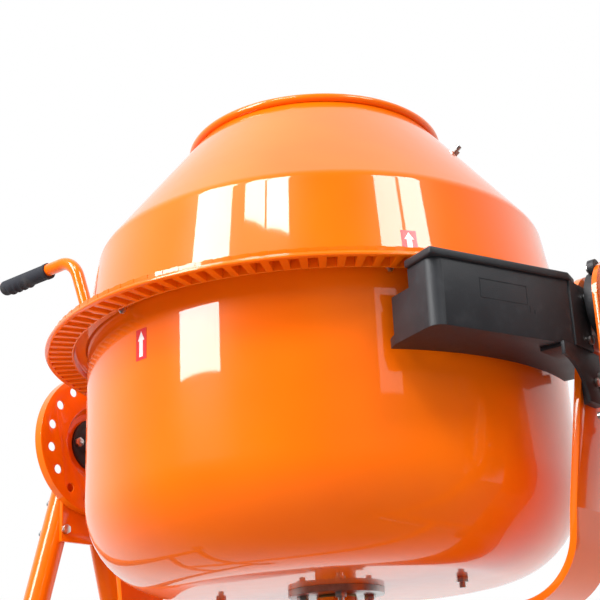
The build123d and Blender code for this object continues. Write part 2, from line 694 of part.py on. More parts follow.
def make_guard_screws():
    return group(screw(place, (-1, 0, 0), 2.6, 14.0) for place in guard_screw_places())


# ---- Drive ------------------------------------------------------------------------------
def pinion_tooth():
    """One tapered tooth with a narrow, rounded tip, pointing up."""
    tip = PINION_PITCH_R + TOOTH_ADDENDUM
    root = PINION_PITCH_R - TOOTH_DEDENDUM - 3
    points = [
        (0, 5.2, root), (0, 3.0, PINION_PITCH_R - RIB_DEPTH), (0, 2.3, PINION_PITCH_R + 2),
        (0, 1.5, tip), (0, -1.5, tip), (0, -2.3, PINION_PITCH_R + 2),
        (0, -3.0, PINION_PITCH_R - RIB_DEPTH), (0, -5.2, root),
    ]
    return extrude(make_face(Polyline(*points, close=True)), GEAR_FACE, dir=(1, 0, 0))


def make_pinion():
    x0 = PITCH_R - GEAR_FACE / 2
    root = PINION_PITCH_R - TOOTH_DEDENDUM
    gear = rod((0, 0, 0), (1, 0, 0), root, GEAR_FACE)
    for k in range(PINION_TEETH):
        gear += pinion_tooth().rotate(Axis.X, 360.0 * k / PINION_TEETH)
    gear = Pos(x0, 0, AXIS_H) * gear
    gear += rod((x0 + GEAR_FACE, 0, AXIS_H), (1, 0, 0), SHAFT_R + 8, 8)
    gear -= rod((x0 - 1, 0, AXIS_H), (1, 0, 0), SHAFT_R, GEAR_FACE + 20)
    return gear - key_block(x0 - 1, GEAR_FACE + 20)


def key_block(x, length):
    return block(x, x + length, -3, 3, AXIS_H + SHAFT_R - 3.5, AXIS_H + SHAFT_R + 2.8)


def make_pinion_shaft():
    start = PITCH_R - GEAR_FACE / 2 - 8
    end = PULLEY_X + PULLEY_W + 8
    shaft = rod((start, 0, AXIS_H), (1, 0, 0), SHAFT_R, end - start)
    shaft -= key_block(PITCH_R - GEAR_FACE / 2, GEAR_FACE)
    groove_x = PITCH_R - GEAR_FACE / 2 - 3
    return shaft - rod((groove_x, 0, AXIS_H), (1, 0, 0), SHAFT_R + 1, 2, SHAFT_R - 1)


def make_pinion_key():
    return key_block(PITCH_R - GEAR_FACE / 2, GEAR_FACE)


def make_shaft_circlip():
    x = PITCH_R - GEAR_FACE / 2 - 2.9
    return rod((x, 0, AXIS_H), (1, 0, 0), SHAFT_R + 4, 1.8, SHAFT_R - 1)


def make_drive_pulley():
    rim = 8.0
    x1 = PULLEY_X + PULLEY_W
    bore = PULLEY_R - rim
    rim_body = turned_x([(PULLEY_X, bore), (x1, bore), (x1, PULLEY_R), (PULLEY_X, PULLEY_R)])
    web_x = PULLEY_X + PULLEY_W / 2
    web = rod((web_x - 3, 0, AXIS_H), (1, 0, 0), bore, 6, SHAFT_R)
    hub = rod((PULLEY_X, 0, AXIS_H), (1, 0, 0), SHAFT_R + 12, PULLEY_W, SHAFT_R)
    for k in range(5):
        angle = 2 * pi * k / 5
        centre = (web_x - 6, 52 * cos(angle), AXIS_H + 52 * sin(angle))
        web -= rod(centre, (1, 0, 0), 17, 12)
    return rim_body + web + hub


def make_shaft_nut():
    x = PULLEY_X + PULLEY_W
    return hexagon((x, 0, AXIS_H), (1, 0, 0), 30, 7.5, SHAFT_R)


def make_motor_pulley():
    x0 = PULLEY_X - 1
    body = rod((x0, 0, MOTOR_Z), (1, 0, 0), MOTOR_PULLEY_R, PULLEY_W + 2, MOTOR_SHAFT_R)
    for x in (x0, x0 + PULLEY_W + 0.5):
        body += rod((x, 0, MOTOR_Z), (1, 0, 0), MOTOR_PULLEY_R + 4, 1.5, MOTOR_SHAFT_R)
    return body


def belt_loop(gap):
    """Face enclosed by a belt line that stands a gap off both pulleys."""
    big = PULLEY_R + gap
    small = MOTOR_PULLEY_R + gap
    lean = acos((big - small) / MOTOR_DROP)
    side = sin(lean)
    rise = cos(lean)

    def on_big(sign):
        return (sign * big * side, -big * rise)

    def on_small(sign):
        return (sign * small * side, -MOTOR_DROP - small * rise)

    edges = [
        ThreePointArc(on_big(-1), (0, big), on_big(1)), Line(on_big(1), on_small(1)),
        ThreePointArc(on_small(1), (0, -MOTOR_DROP - small), on_small(-1)),
        Line(on_small(-1), on_big(-1)),
    ]
    return make_face(edges)


def make_drive_belt():
    plane = Plane(origin=(PULLEY_X + 2, 0, AXIS_H), x_dir=(0, 1, 0), z_dir=(1, 0, 0))
    loop = belt_loop(BELT_GAP + BELT_T) - belt_loop(BELT_GAP)
    return extrude(plane * loop, PULLEY_W - 4)


def make_motor_body():
    """Closed motor case with feet and ribs; the shaft comes out towards the belt."""
    end = MOTOR_X + MOTOR_LENGTH
    case = turned_x(
        [(MOTOR_X, MOTOR_SHAFT_R + FIT), (MOTOR_X, 40), (MOTOR_X + 8, MOTOR_R - 6), (MOTOR_X + 14, MOTOR_R),
         (end - 10, MOTOR_R), (end, MOTOR_R - 12), (end, MOTOR_SHAFT_R + FIT)],
        MOTOR_Z,
    )
    hollow = turned_x(
        [(MOTOR_X + 12, 0), (MOTOR_X + 12, MOTOR_R - 14), (end - 12, MOTOR_R - 14), (end - 12, 0)], MOTOR_Z
    )
    case -= hollow
    for k in range(12):
        fin = block(MOTOR_X + 18, end - 14, -1.5, 1.5, MOTOR_Z + MOTOR_R - 2, MOTOR_Z + MOTOR_R + 5)
        case += fin.rotate(Axis((0, 0, MOTOR_Z), (1, 0, 0)), 15 + 30 * k)
    for y in (-1, 1):
        strut = block(BOX_X + BOX_WALL, MOTOR_X + 30, y * 62, y * 72, MOTOR_Z - 12, MOTOR_Z + 12)
        strut += block(MOTOR_X + 14, MOTOR_X + 30, y * 55, y * 72, MOTOR_Z - 12, MOTOR_Z + 12)
        case += strut
    return case


def make_motor_rotor():
    start = PULLEY_X - 3
    end = MOTOR_X + MOTOR_LENGTH + 16
    shaft = rod((start, 0, MOTOR_Z), (1, 0, 0), MOTOR_SHAFT_R, end - start)
    return shaft + rod((MOTOR_X + 20, 0, MOTOR_Z), (1, 0, 0), MOTOR_R - 22, MOTOR_LENGTH - 40)


def make_cooling_fan():
    x = MOTOR_X + MOTOR_LENGTH + 2
    fan = rod((x, 0, MOTOR_Z), (1, 0, 0), 16, 12, MOTOR_SHAFT_R)
    for k in range(8):
        blade = block(x, x + 11, -1.0, 1.0, MOTOR_Z + 14, MOTOR_Z + MOTOR_R - 10)
        fan += blade.rotate(Axis((0, 0, MOTOR_Z), (1, 0, 0)), 45 * k)
    return fan


def cover_screw_places():
    outside = BOX_HALF + 5.5
    top = AXIS_H + BOX_TOP - 42
    low = AXIS_H - BOX_BOTTOM + 42
    middle = (top + low) / 2
    return [(y * outside, z) for y in (-1, 1) for z in (low, middle, top)]


def make_motor_base():
    """Back plate of the motor box, bolted to both motor-side legs."""
    plate = rounded_plate(BOX_X, BOX_WALL, BOX_HALF + 10, AXIS_H - BOX_BOTTOM - 10, AXIS_H + BOX_TOP + 10,
                          BOX_CORNER + 10)
    plate -= rod((BOX_X - 1, 0, AXIS_H), (1, 0, 0), TRUNNION_R + 3, BOX_WALL + 2)
    for y, z in cover_screw_places():
        plate -= rod((BOX_X - 1, y, z), (1, 0, 0), 2.0, BOX_WALL + 2)
    for y, z in motor_mount_places():
        plate -= rod((BOX_X - 1, y, z), (1, 0, 0), BOLT_R + BOLT_ROOM, BOX_WALL + 2)
    return plate


def make_motor_cover():
    x0 = BOX_X + BOX_WALL
    low = AXIS_H - BOX_BOTTOM
    top = AXIS_H + BOX_TOP
    outer = rounded_plate(x0, BOX_DEPTH, BOX_HALF, low, top, BOX_CORNER)
    outer = fillet(outer.faces().sort_by(Axis.X)[-1].edges(), 14.0)
    inner = rounded_plate(x0 - 1, BOX_DEPTH + 1 - BOX_WALL, BOX_HALF - BOX_WALL, low + BOX_WALL,
                          top - BOX_WALL, BOX_CORNER - BOX_WALL)
    inner = fillet(inner.faces().sort_by(Axis.X)[-1].edges(), 12.0)
    rim = rounded_plate(x0, 4.0, BOX_HALF + 10, low - 10, top + 10, BOX_CORNER + 10)
    cover = outer + rim - inner
    end = x0 + BOX_DEPTH
    for k in range(7):
        z = MOTOR_Z - 42 + 14 * k
        cover -= block(end - 20, end + 5, -45, 45, z - 3, z + 3)
    for y, z in cover_screw_places():
        cover -= rod((x0 - 1, y, z), (1, 0, 0), 2.0, 8)
    cover -= block(x0 + 62, x0 + 118, -BOX_HALF - 2, -BOX_HALF + BOX_WALL + 2, SWITCH_Z - 32, SWITCH_Z + 32)
    cover -= rod((INLET_X, 0, low - 2), UP, 19, BOX_WALL + 4)
    return cover


def make_cover_screws():
    x = BOX_X + BOX_WALL + 4.0
    return group(screw((x, y, z), (-1, 0, 0), 2.0, 4.0 + BOX_WALL + 2) for y, z in cover_screw_places())


def make_switch_body():
    """Switch housing let into the front of the motor cover, with two wells for the buttons."""
    face_y = -BOX_HALF - SWITCH_FRONT
    flange = block(SWITCH_X - 36, SWITCH_X + 36, face_y, -BOX_HALF, SWITCH_Z - 40, SWITCH_Z + 40)
    flange = fillet(flange.edges().filter_by(Axis.Y), 8.0)
    body = block(SWITCH_X - 27, SWITCH_X + 27, -BOX_HALF, -BOX_HALF + 34, SWITCH_Z - 31, SWITCH_Z + 31)
    piece = flange + body
    for z in (SWITCH_Z - BUTTON_PITCH / 2, SWITCH_Z + BUTTON_PITCH / 2):
        piece -= rod((SWITCH_X, face_y - 1, z), (0, 1, 0), BUTTON_R + 0.6, 26)
    return piece


def make_button(z):
    face_y = -BOX_HALF - SWITCH_FRONT
    cap = rod((SWITCH_X, face_y - 4.0, z), (0, 1, 0), BUTTON_R, 14.0)
    cap = fillet(cap.edges().sort_by(Axis.Y)[0], 1.8)
    return cap


def make_power_inlet():
    low = BOX_LOW_Z
    body = rod((INLET_X, 0, low - INLET_REACH), UP, 24, INLET_REACH, 19.5)
    body += rod((INLET_X, 0, low), UP, 18.6, 22)
    body += rod((INLET_X, 0, low - 8), UP, 24, 8)
    for k in range(3):
        angle = 2 * pi * k / 3
        body += rod((INLET_X + 9 * cos(angle), 9 * sin(angle), low - 22), UP, 2.4, 15)
    return body


# ---- Locking disc and lever -------------------------------------------------------------
def make_locking_disc():
    face = -DISC_X
    disc = turned_x([
        (face, DISC_R), (face - DISC_RIM, DISC_R), (face - DISC_RIM, DISC_R - DISC_T),
        (face - DISC_T, DISC_R - DISC_T), (face - DISC_T, DISC_DISH_R + 2),
        (face - DISC_T - DISC_DISH, DISC_DISH_R - 6), (face - DISC_T - DISC_DISH, PIN_R + BUSH_WALL),
        (face - DISC_DISH, PIN_R + BUSH_WALL), (face - DISC_DISH, DISC_DISH_R - 8),
        (face, DISC_DISH_R),
    ])
    for k in range(HOLES):
        angle = radians(90 + LEVER_ANGLE + 360.0 * k / HOLES)
        y = HOLE_CIRCLE_R * cos(angle)
        z = AXIS_H + HOLE_CIRCLE_R * sin(angle)
        disc -= rod((face + 5, y, z), (-1, 0, 0), HOLE_R, DISC_T + 10)
    for y, z in bush_bolt_places():
        disc -= rod((face + 5, y, z), (-1, 0, 0), BOLT_R + BOLT_ROOM, DISC_DISH + DISC_T + 10)
    return disc


def bush_bolt_places(radius=31.0):
    return [(radius * cos(pi / 2 * k), AXIS_H + radius * sin(pi / 2 * k)) for k in range(4)]


def make_left_bush():
    """Black flanged bush that carries the handle-side trunnion."""
    inner_x = -(DISC_X + DISC_DISH)
    bush = rod((inner_x, 0, AXIS_H), (-1, 0, 0), PIN_R + BUSH_WALL, DISC_T + HEAD_T, PIN_R + FIT)
    bush += rod((inner_x + 5, 0, AXIS_H), (-1, 0, 0), 40, 5, PIN_R + FIT)
    for y, z in bush_bolt_places():
        bush -= rod((inner_x + 6, y, z), (-1, 0, 0), BOLT_R + BOLT_ROOM, 30)
    return bush


def make_bush_bolts():
    x = -(DISC_X + DISC_DISH) + 5
    bolts = [bolt_and_nut((x, y, z), (-1, 0, 0), BOLT_R, 5 + DISC_T + HEAD_T) for y, z in bush_bolt_places()]
    return group(bolts)


def tilt_lever(piece, release=0.0):
    """Turns a lever piece drawn upright into its place beside the disc."""
    pivot = Axis((-LEVER_X, 0, AXIS_H - LEVER_PIVOT), (0, 1, 0))
    return piece.rotate(pivot, release).rotate(X_AXIS, LEVER_ANGLE)


def lever_path():
    points = [
        (-LEVER_X, 0, AXIS_H + LEVER_HOLE_R + 8), (-LEVER_X, 0, AXIS_H + DISC_R + 8),
        (-LEVER_TOP_X, 0, AXIS_H + LEVER_TOP), (-LEVER_END_X, 0, AXIS_H + LEVER_TOP),
    ]
    return FilletPolyline(*points, radius=[90, 36])


def make_lever_tube():
    path = lever_path()
    start = Plane(origin=path @ 0, z_dir=path % 0)
    tube = sweep(start * Circle(LEVER_TUBE_R), path=path) - sweep(start * Circle(LEVER_TUBE_R - 2), path=path)
    pivot_z = AXIS_H - LEVER_PIVOT
    half = LEVER_PLATE_T / 2
    plate = rod((-LEVER_X - half, 0, AXIS_H), (1, 0, 0), LEVER_HOLE_R + 9, LEVER_PLATE_T)
    plate += block(-LEVER_X - half, -LEVER_X + half, -12, 12, pivot_z, AXIS_H + DISC_R - 40)
    eye = rod((-LEVER_X, -12, pivot_z), (0, 1, 0), 10, 24)
    room = rod((-LEVER_X, 0, AXIS_H + LEVER_HOLE_R + 7), UP, LEVER_TUBE_R - 2, DISC_R)
    lever = tube + (plate + eye - room)
    lever -= rod((-LEVER_X - 10, 0, AXIS_H), (1, 0, 0), LEVER_HOLE_R, 20)
    lever -= rod((-LEVER_X, -13, pivot_z), (0, 1, 0), LEVER_PIN_R + FIT, 26)
    return tilt_lever(lever) - make_locking_pin()


def make_locking_pin():
    tip = -(DISC_X + DISC_T + LOCK_PIN_REACH)
    height = AXIS_H + HOLE_CIRCLE_R
    pin = rod((-LEVER_X + 12, 0, height), (-1, 0, 0), LOCK_PIN_R, -LEVER_X + 12 - tip)
    pin = chamfer(pin.edges().sort_by(Axis.X)[0], LOCK_PIN_TAPER)
    return tilt_lever(pin, LOCK_TRAVEL)


def make_lever_grip():
    end_x = -LEVER_END_X - 4
    z = AXIS_H + LEVER_TOP
    grip = rod((end_x, 0, z), (1, 0, 0), GRIP_R, GRIP_LENGTH)
    grip = fillet(grip.edges().group_by(Axis.X)[0], 6.0)
    for k in range(4):
        x = end_x + 24 + 20 * k
        grip += Pos(x, 0, z - 2) * Rotation(0, 90, 0) * Cylinder(GRIP_R + 1.0, 8)
    grip -= rod((end_x + 4, 0, z), (1, 0, 0), LEVER_TUBE_R, GRIP_LENGTH)
    return tilt_lever(grip)


def make_lever_bracket(bow):
    z = AXIS_H - LEVER_PIVOT
    ears = []
    for y0 in (-17.0, 13.0):
        ear = block(-ARM_IN - 1.5, -LEVER_X, y0, y0 + 4, z - 18, z + 18)
        ear += rod((-LEVER_X, y0, z), (0, 1, 0), 12, 4)
        ear -= rod((-LEVER_X, y0 - 1, z), (0, 1, 0), LEVER_PIN_R, 6)
        ears.append(ear)
    back = block(-ARM_IN - 1.5, -ARM_OUT - 5, -17, 17, z - 18, z + 18)
    return tilt_lever(ears[0] + ears[1] + back) - bow


def make_lever_pivot_pin():
    z = AXIS_H - LEVER_PIVOT
    pin = rod((-LEVER_X, -21, z), (0, 1, 0), LEVER_PIN_R, 42)
    return tilt_lever(pin)


# ---- Frame ------------------------------------------------------------------------------
def head_plate(x, bore):
    """Plate with a rounded top that carries one bearing and both legs of its side."""
    top = rod((x, 0, AXIS_H), (1, 0, 0), HEAD_WIDTH / 2, HEAD_T)
    spread = HEAD_WIDTH / 2
    body = block(x, x + HEAD_T, -spread, spread, AXIS_H - HEAD_DROP, AXIS_H)
    return top + body - rod((x - 1, 0, AXIS_H), (1, 0, 0), bore, HEAD_T + 2)


def leg_slope(low_z):
    return (LEG_SPREAD - LEG_TOP_Y) / (LEG_TOP_Z - low_z)


def leg_y(z, low_z):
    return LEG_TOP_Y + (LEG_TOP_Z - z) * leg_slope(low_z)


def leg_tube(x, side, low_z):
    top = (x, side * LEG_TOP_Y, LEG_TOP_Z)
    foot = (x, side * LEG_SPREAD, low_z)
    return rod_between(top, foot, TUBE_R, TUBE_R - TUBE_T)


def leg_bolt_places(low_z):
    """Two bolts through each leg and its head plate."""
    heights = [AXIS_H - drop for drop in LEG_BOLT_DROPS]
    return [(side * leg_y(z, low_z), z) for side in (-1, 1) for z in heights]


def motor_mount_places():
    return leg_bolt_places(WHEEL_R)


def make_left_head():
    plate = head_plate(-(LEFT_HEAD_X + HEAD_T), PIN_R + BUSH_WALL)
    for y, z in bush_bolt_places():
        plate -= rod((-LEFT_HEAD_X + 1, y, z), (-1, 0, 0), BOLT_R + BOLT_ROOM, HEAD_T + 2)
    for y, z in leg_bolt_places(FOOT_BAR_Z):
        plate -= rod((-LEFT_HEAD_X + 1, y, z), (-1, 0, 0), BOLT_R + BOLT_ROOM, HEAD_T + 2)
    return plate


def make_right_head():
    plate = head_plate(RIGHT_HEAD_X, TRUNNION_R + BUSH_WALL)
    for y, z in leg_bolt_places(WHEEL_R):
        plate -= rod((RIGHT_HEAD_X - 1, y, z), (1, 0, 0), BOLT_R + BOLT_ROOM, HEAD_T + 2)
    for y, z in right_bush_screws():
        plate -= rod((RIGHT_HEAD_X - 1, y, z), (1, 0, 0), BUSH_SCREW_R, HEAD_T + 2)
    return plate


def right_bush_screws():
    return [(-31.0, AXIS_H + 39.0), (31.0, AXIS_H + 39.0), (0.0, AXIS_H - 50.0)]


def make_right_bush():
    """Black round bearing cover with three screwed lugs, on the motor side."""
    x0 = ARM_OUT + BUSH_COVER_GAP
    body = rod((x0, 0, AXIS_H), (1, 0, 0), BUSH_COVER_R, RIGHT_HEAD_X - x0)
    for y, z in right_bush_screws():
        body += rod((RIGHT_HEAD_X - 8, y, z), (1, 0, 0), 9.0, 8.0)
    body += rod((RIGHT_HEAD_X, 0, AXIS_H), (1, 0, 0), TRUNNION_R + BUSH_WALL, HEAD_T)
    body -= rod((x0 - 1, 0, AXIS_H), (1, 0, 0), TRUNNION_R + FIT, 60)
    for y, z in right_bush_screws():
        body -= rod((x0 - 1, y, z), (1, 0, 0), BUSH_SCREW_R, 60)
        body -= rod((x0 - 1, y, z), (1, 0, 0), 6.0, RIGHT_HEAD_X - 8 - x0 + 1)
    return body


def make_bush_screws():
    x = RIGHT_HEAD_X - 8
    return group(
        screw((x, y, z), (1, 0, 0), BUSH_SCREW_R, 8 + HEAD_T + 2) for y, z in right_bush_screws()
    )


def make_left_leg(side):
    leg = leg_tube(-LEFT_LEG_X, side, FOOT_BAR_Z)
    leg -= rod((-LEFT_LEG_X, -FOOT_BAR_HALF, FOOT_BAR_Z), (0, 1, 0), TUBE_R, 2 * FOOT_BAR_HALF)
    for y, z in leg_bolt_places(FOOT_BAR_Z):
        leg -= rod((-LEFT_HEAD_X, y, z), (-1, 0, 0), BOLT_R + BOLT_ROOM, 60)
    return leg


def make_right_leg(side):
    leg = leg_tube(RIGHT_LEG_X, side, WHEEL_R)
    leg += rod((RIGHT_LEG_X, side * (LEG_SPREAD - 20), WHEEL_R), (0, side, 0), TUBE_R - 2, 44)
    leg -= rod((RIGHT_LEG_X, side * (LEG_SPREAD - 30), WHEEL_R), (0, side, 0), AXLE_R, 70)
    for y, z in leg_bolt_places(WHEEL_R):
        leg -= rod((RIGHT_HEAD_X, y, z), (1, 0, 0), BOLT_R + BOLT_ROOM, 60)
    return leg


def make_leg_bolts():
    pieces = []
    for y, z in leg_bolt_places(FOOT_BAR_Z):
        pieces.append(bolt_and_nut((-LEFT_HEAD_X, y, z), (-1, 0, 0), BOLT_R, HEAD_T + 2 * TUBE_R))
    for y, z in leg_bolt_places(WHEEL_R):
        pieces.append(bolt_and_nut((BOX_X + BOX_WALL, y, z), (-1, 0, 0), BOLT_R,
                                   BOX_X + BOX_WALL - RIGHT_HEAD_X))
    return group(pieces)


def make_foot_bar():
    start = (-LEFT_LEG_X, -FOOT_BAR_HALF, FOOT_BAR_Z)
    return rod(start, (0, 1, 0), TUBE_R, 2 * FOOT_BAR_HALF, TUBE_R - TUBE_T)


def make_rubber_feet():
    """A rubber shoe closes each end of the foot bar and stands on the floor."""
    pieces = []
    for side in (-1, 1):
        end = side * FOOT_BAR_HALF
        shoe = block(-LEFT_LEG_X - 26, -LEFT_LEG_X + 26, end - side * 46, end + side * 5, 0, FOOT_BAR_Z + 4)
        shoe = fillet(shoe.edges().filter_by(Axis.Z), 8.0)
        shoe += rod((-LEFT_LEG_X, end - side * 46, FOOT_BAR_Z), (0, side, 0), TUBE_R + 4, 51)
        shoe -= rod((-LEFT_LEG_X, end - side * 47, FOOT_BAR_Z), (0, side, 0), TUBE_R, 47)
        pieces.append(shoe)
    return group(pieces)


def make_brace(x, low_z):
    """Bar between the two legs of one side."""
    half = leg_y(BRACE_H, low_z)
    bar = rod((x, -half, BRACE_H), (0, 1, 0), TUBE_R - 4, 2 * half, TUBE_R - 4 - TUBE_T)
    for side in (-1, 1):
        top = (x, side * LEG_TOP_Y, LEG_TOP_Z)
        foot = (x, side * LEG_SPREAD, low_z)
        bar -= rod_between(top, foot, TUBE_R)
    return bar


def make_long_tube():
    """Long tube along X that ties both sides of the stand together."""
    left = -LEFT_LEG_X + TUBE_R - 4
    right = RIGHT_LEG_X - TUBE_R + 4
    tube = rod((left - 10, 0, BRACE_H), (1, 0, 0), TUBE_R, right - left + 20, TUBE_R - TUBE_T)
    for x in (-LEFT_LEG_X, RIGHT_LEG_X):
        tube -= rod((x, -100, BRACE_H), (0, 1, 0), TUBE_R - 4, 200)
    return tube


# ---- Wheels -----------------------------------------------------------------------------
def ring_y(points, x, y, z):
    """Solid of revolution about a line along Y, from (radius, offset) points."""
    face = make_face(Plane.XY * Polyline(*points, close=True))
    return Pos(x, y, z) * revolve(face, Axis.Y)


def make_axle():
    half = WHEEL_Y + WHEEL_WIDTH / 2 + 12
    return rod((RIGHT_LEG_X, -half, WHEEL_R), (0, 1, 0), AXLE_R, 2 * half)


def make_tyre(side):
    w = WHEEL_WIDTH / 2
    inner = WHEEL_R - 32
    points = [
        (inner, -w + 3), (WHEEL_R - 12, -w), (WHEEL_R - 3, -w + 7), (WHEEL_R, -w + 16), (WHEEL_R, w - 16),
        (WHEEL_R - 3, w - 7), (WHEEL_R - 12, w), (inner, w - 3),
    ]
    return ring_y(points, RIGHT_LEG_X, side * WHEEL_Y, WHEEL_R)


def make_rim(side):
    w = WHEEL_WIDTH / 2
    inner = WHEEL_R - 32
    points = [
        (AXLE_R + 5, -w + 2), (22, -w + 2), (26, -5), (inner - 8, -5), (inner - 5, -w + 3), (inner, -w + 3),
        (inner, w - 3), (inner - 5, w - 3), (inner - 8, 5), (26, 5), (22, w - 2), (AXLE_R + 5, w - 2),
    ]
    rim = ring_y(points, RIGHT_LEG_X, side * WHEEL_Y, WHEEL_R)
    for k in range(5):
        angle = 2 * pi * k / 5
        centre = (RIGHT_LEG_X + 44 * cos(angle), side * WHEEL_Y - 20, WHEEL_R + 44 * sin(angle))
        rim -= rod(centre, (0, 1, 0), 10.5, 40)
    return rim


def make_wheel_bush(side):
    w = WHEEL_WIDTH / 2 - 2
    return rod((RIGHT_LEG_X, side * WHEEL_Y - w, WHEEL_R), (0, 1, 0), AXLE_R + 5, 2 * w, AXLE_R + FIT)


def make_axle_washers():
    pieces = []
    for side in (-1, 1):
        for y in (WHEEL_Y - WHEEL_WIDTH / 2 - 1.5, WHEEL_Y + WHEEL_WIDTH / 2 - 1.0):
            start = (RIGHT_LEG_X, side * y, WHEEL_R)
            pieces.append(rod(start, (0, side, 0), AXLE_R + 8, 2.5, AXLE_R))
    return group(pieces)


def make_axle_caps():
    pieces = []
    for side in (-1, 1):
        y = side * (WHEEL_Y + WHEEL_WIDTH / 2 + 2.0)
        cap = rod((RIGHT_LEG_X, y, WHEEL_R), (0, side, 0), AXLE_R + 6, 14)
        cap = fillet(cap.edges().sort_by(Axis.Y)[-1 if side > 0 else 0], 4.0)
        pieces.append(cap - rod((RIGHT_LEG_X, y, WHEEL_R), (0, side, 0), AXLE_R, 10))
    return group(pieces)


# ---- Assembly ---------------------------------------------------------------------------
def build_nodes():
    upper = make_drum_upper()
    bow = make_yoke_bow()
    nodes = {
        "drum_lower": make_drum_lower(),
        "drum_upper": upper,
        "mouth_rim": make_mouth_rim(upper),
        "ring_gear": make_ring_gear(),
        "flange_bolts": make_flange_bolts(),
        "mixing_paddles": group(make_paddle(angle) for angle in paddle_angles()),
        "paddle_bolts": make_paddle_bolts(),
        "drum_spindle": make_spindle(),
        "spindle_fasteners": group([make_spindle_bolts(), make_spindle_circlip()]),
        "alignment_labels": make_alignment_labels(),
        "yoke_bow": bow,
        "drum_bearing_housing": make_drum_bearing_housing(),
        "drum_bush": make_drum_bush(),
        "bearing_bolts": make_bearing_bolts(),
        "right_trunnion": make_right_trunnion(),
        "shaft_bushes": make_shaft_bushes(),
        "left_trunnion": make_left_trunnion(),
        "trunnion_circlip": make_trunnion_circlip(),
        "pinion_guard": make_pinion_guard(),
        "guard_lid": make_guard_lid(),
        "guard_bracket": make_guard_bracket(bow),
        "guard_screws": make_guard_screws(),
        "lever_bracket": make_lever_bracket(bow),
        "lever_pivot_pin": make_lever_pivot_pin(),
        "pinion": make_pinion(),
        "pinion_shaft": make_pinion_shaft(),
        "shaft_retainers": group([make_pinion_key(), make_shaft_circlip(), make_shaft_nut()]),
        "drive_pulley": make_drive_pulley(),
        "drive_belt": make_drive_belt(),
        "motor_pulley": make_motor_pulley(),
        "motor_rotor": make_motor_rotor(),
        "cooling_fan": make_cooling_fan(),
        "motor_body": make_motor_body(),
        "motor_base": make_motor_base(),
        "motor_cover": make_motor_cover(),
        "cover_screws": make_cover_screws(),
        "switch_body": make_switch_body(),
        "start_button": make_button(SWITCH_Z + BUTTON_PITCH / 2),
        "stop_button": make_button(SWITCH_Z - BUTTON_PITCH / 2),
        "power_inlet": make_power_inlet(),
        "lever_tube": make_lever_tube(),
        "lever_grip": make_lever_grip(),
        "locking_pin": make_locking_pin(),
        "locking_disc": make_locking_disc(),
        "left_bush": make_left_bush(),
        "bush_bolts": make_bush_bolts(),
        "right_bush": make_right_bush(),
        "stand_heads": group([make_left_head(), make_right_head()]),
        "stand_bolts": group([make_leg_bolts(), make_bush_screws()]),
        "stand_legs": group(
            [make_left_leg(-1), make_left_leg(1), make_right_leg(-1), make_right_leg(1)]
        ),
        "stand_tubes": group([
            make_brace(-LEFT_LEG_X, FOOT_BAR_Z), make_brace(RIGHT_LEG_X, WHEEL_R), make_long_tube(),
        ]),
        "foot_bar": make_foot_bar(),
        "rubber_feet": make_rubber_feet(),
        "axle": make_axle(),
        "axle_fittings": group([make_axle_washers(), make_axle_caps()]),
    }
    for side, end in ((-1, "front"), (1, "rear")):
        nodes[f"tyre_{end}"] = make_tyre(side)
        nodes[f"wheel_rim_{end}"] = group([make_rim(side), make_wheel_bush(side)])
    return nodes


def main():
    os.makedirs("parts", exist_ok=True)
    nodes = build_nodes()
    whole = Compound(children=[Compound(children=list(piece.solids())) for piece in nodes.values()])
    box = whole.bounding_box()
    shift = Location((-(box.min.X + box.max.X) / 2, -(box.min.Y + box.max.Y) / 2, -box.min.Z))
    for name, piece in nodes.items():
        export_step(Compound(children=list(piece.solids())).moved(shift), f"parts/{name}.step")
    print("nodes", len(nodes), "origin moved by", shift.position)


main()
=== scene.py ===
import json
from math import cos, pi, radians, sin, sqrt

import bmesh
import bpy
from mathutils import Matrix, Vector


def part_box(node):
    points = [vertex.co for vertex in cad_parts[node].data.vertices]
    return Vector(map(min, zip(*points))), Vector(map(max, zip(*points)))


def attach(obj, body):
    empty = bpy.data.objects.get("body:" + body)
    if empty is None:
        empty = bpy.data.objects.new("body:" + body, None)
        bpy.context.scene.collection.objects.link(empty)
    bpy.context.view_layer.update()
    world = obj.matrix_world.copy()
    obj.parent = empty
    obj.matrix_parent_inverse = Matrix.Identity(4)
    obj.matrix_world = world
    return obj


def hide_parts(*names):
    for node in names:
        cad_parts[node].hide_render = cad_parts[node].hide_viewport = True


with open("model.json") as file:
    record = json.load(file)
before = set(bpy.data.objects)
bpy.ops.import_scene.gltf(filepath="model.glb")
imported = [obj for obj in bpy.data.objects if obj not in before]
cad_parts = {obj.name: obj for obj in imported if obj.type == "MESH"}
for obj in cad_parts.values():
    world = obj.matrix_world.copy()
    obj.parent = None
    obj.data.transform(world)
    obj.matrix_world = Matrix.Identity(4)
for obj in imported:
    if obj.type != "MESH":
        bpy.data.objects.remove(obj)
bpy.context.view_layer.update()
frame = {"nodes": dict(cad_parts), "record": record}

bl_info = {
    "name": "Concrete mixer",
    "version": (1, 0, 0),
    "blender": (4, 5, 0),
    "location": "View3D > Sidebar > Mixer",
    "description": "Builds the painted, moulded and plated surfaces of a tilting-drum concrete mixer",
    "category": "Object",
}

# ---- Places from the frame (metres) ------------------------------------------------------
MM = 0.001


def corners(node):
    low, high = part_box(node)
    return Vector(low), Vector(high)


def middle(node):
    low, high = corners(node)
    return (low + high) / 2


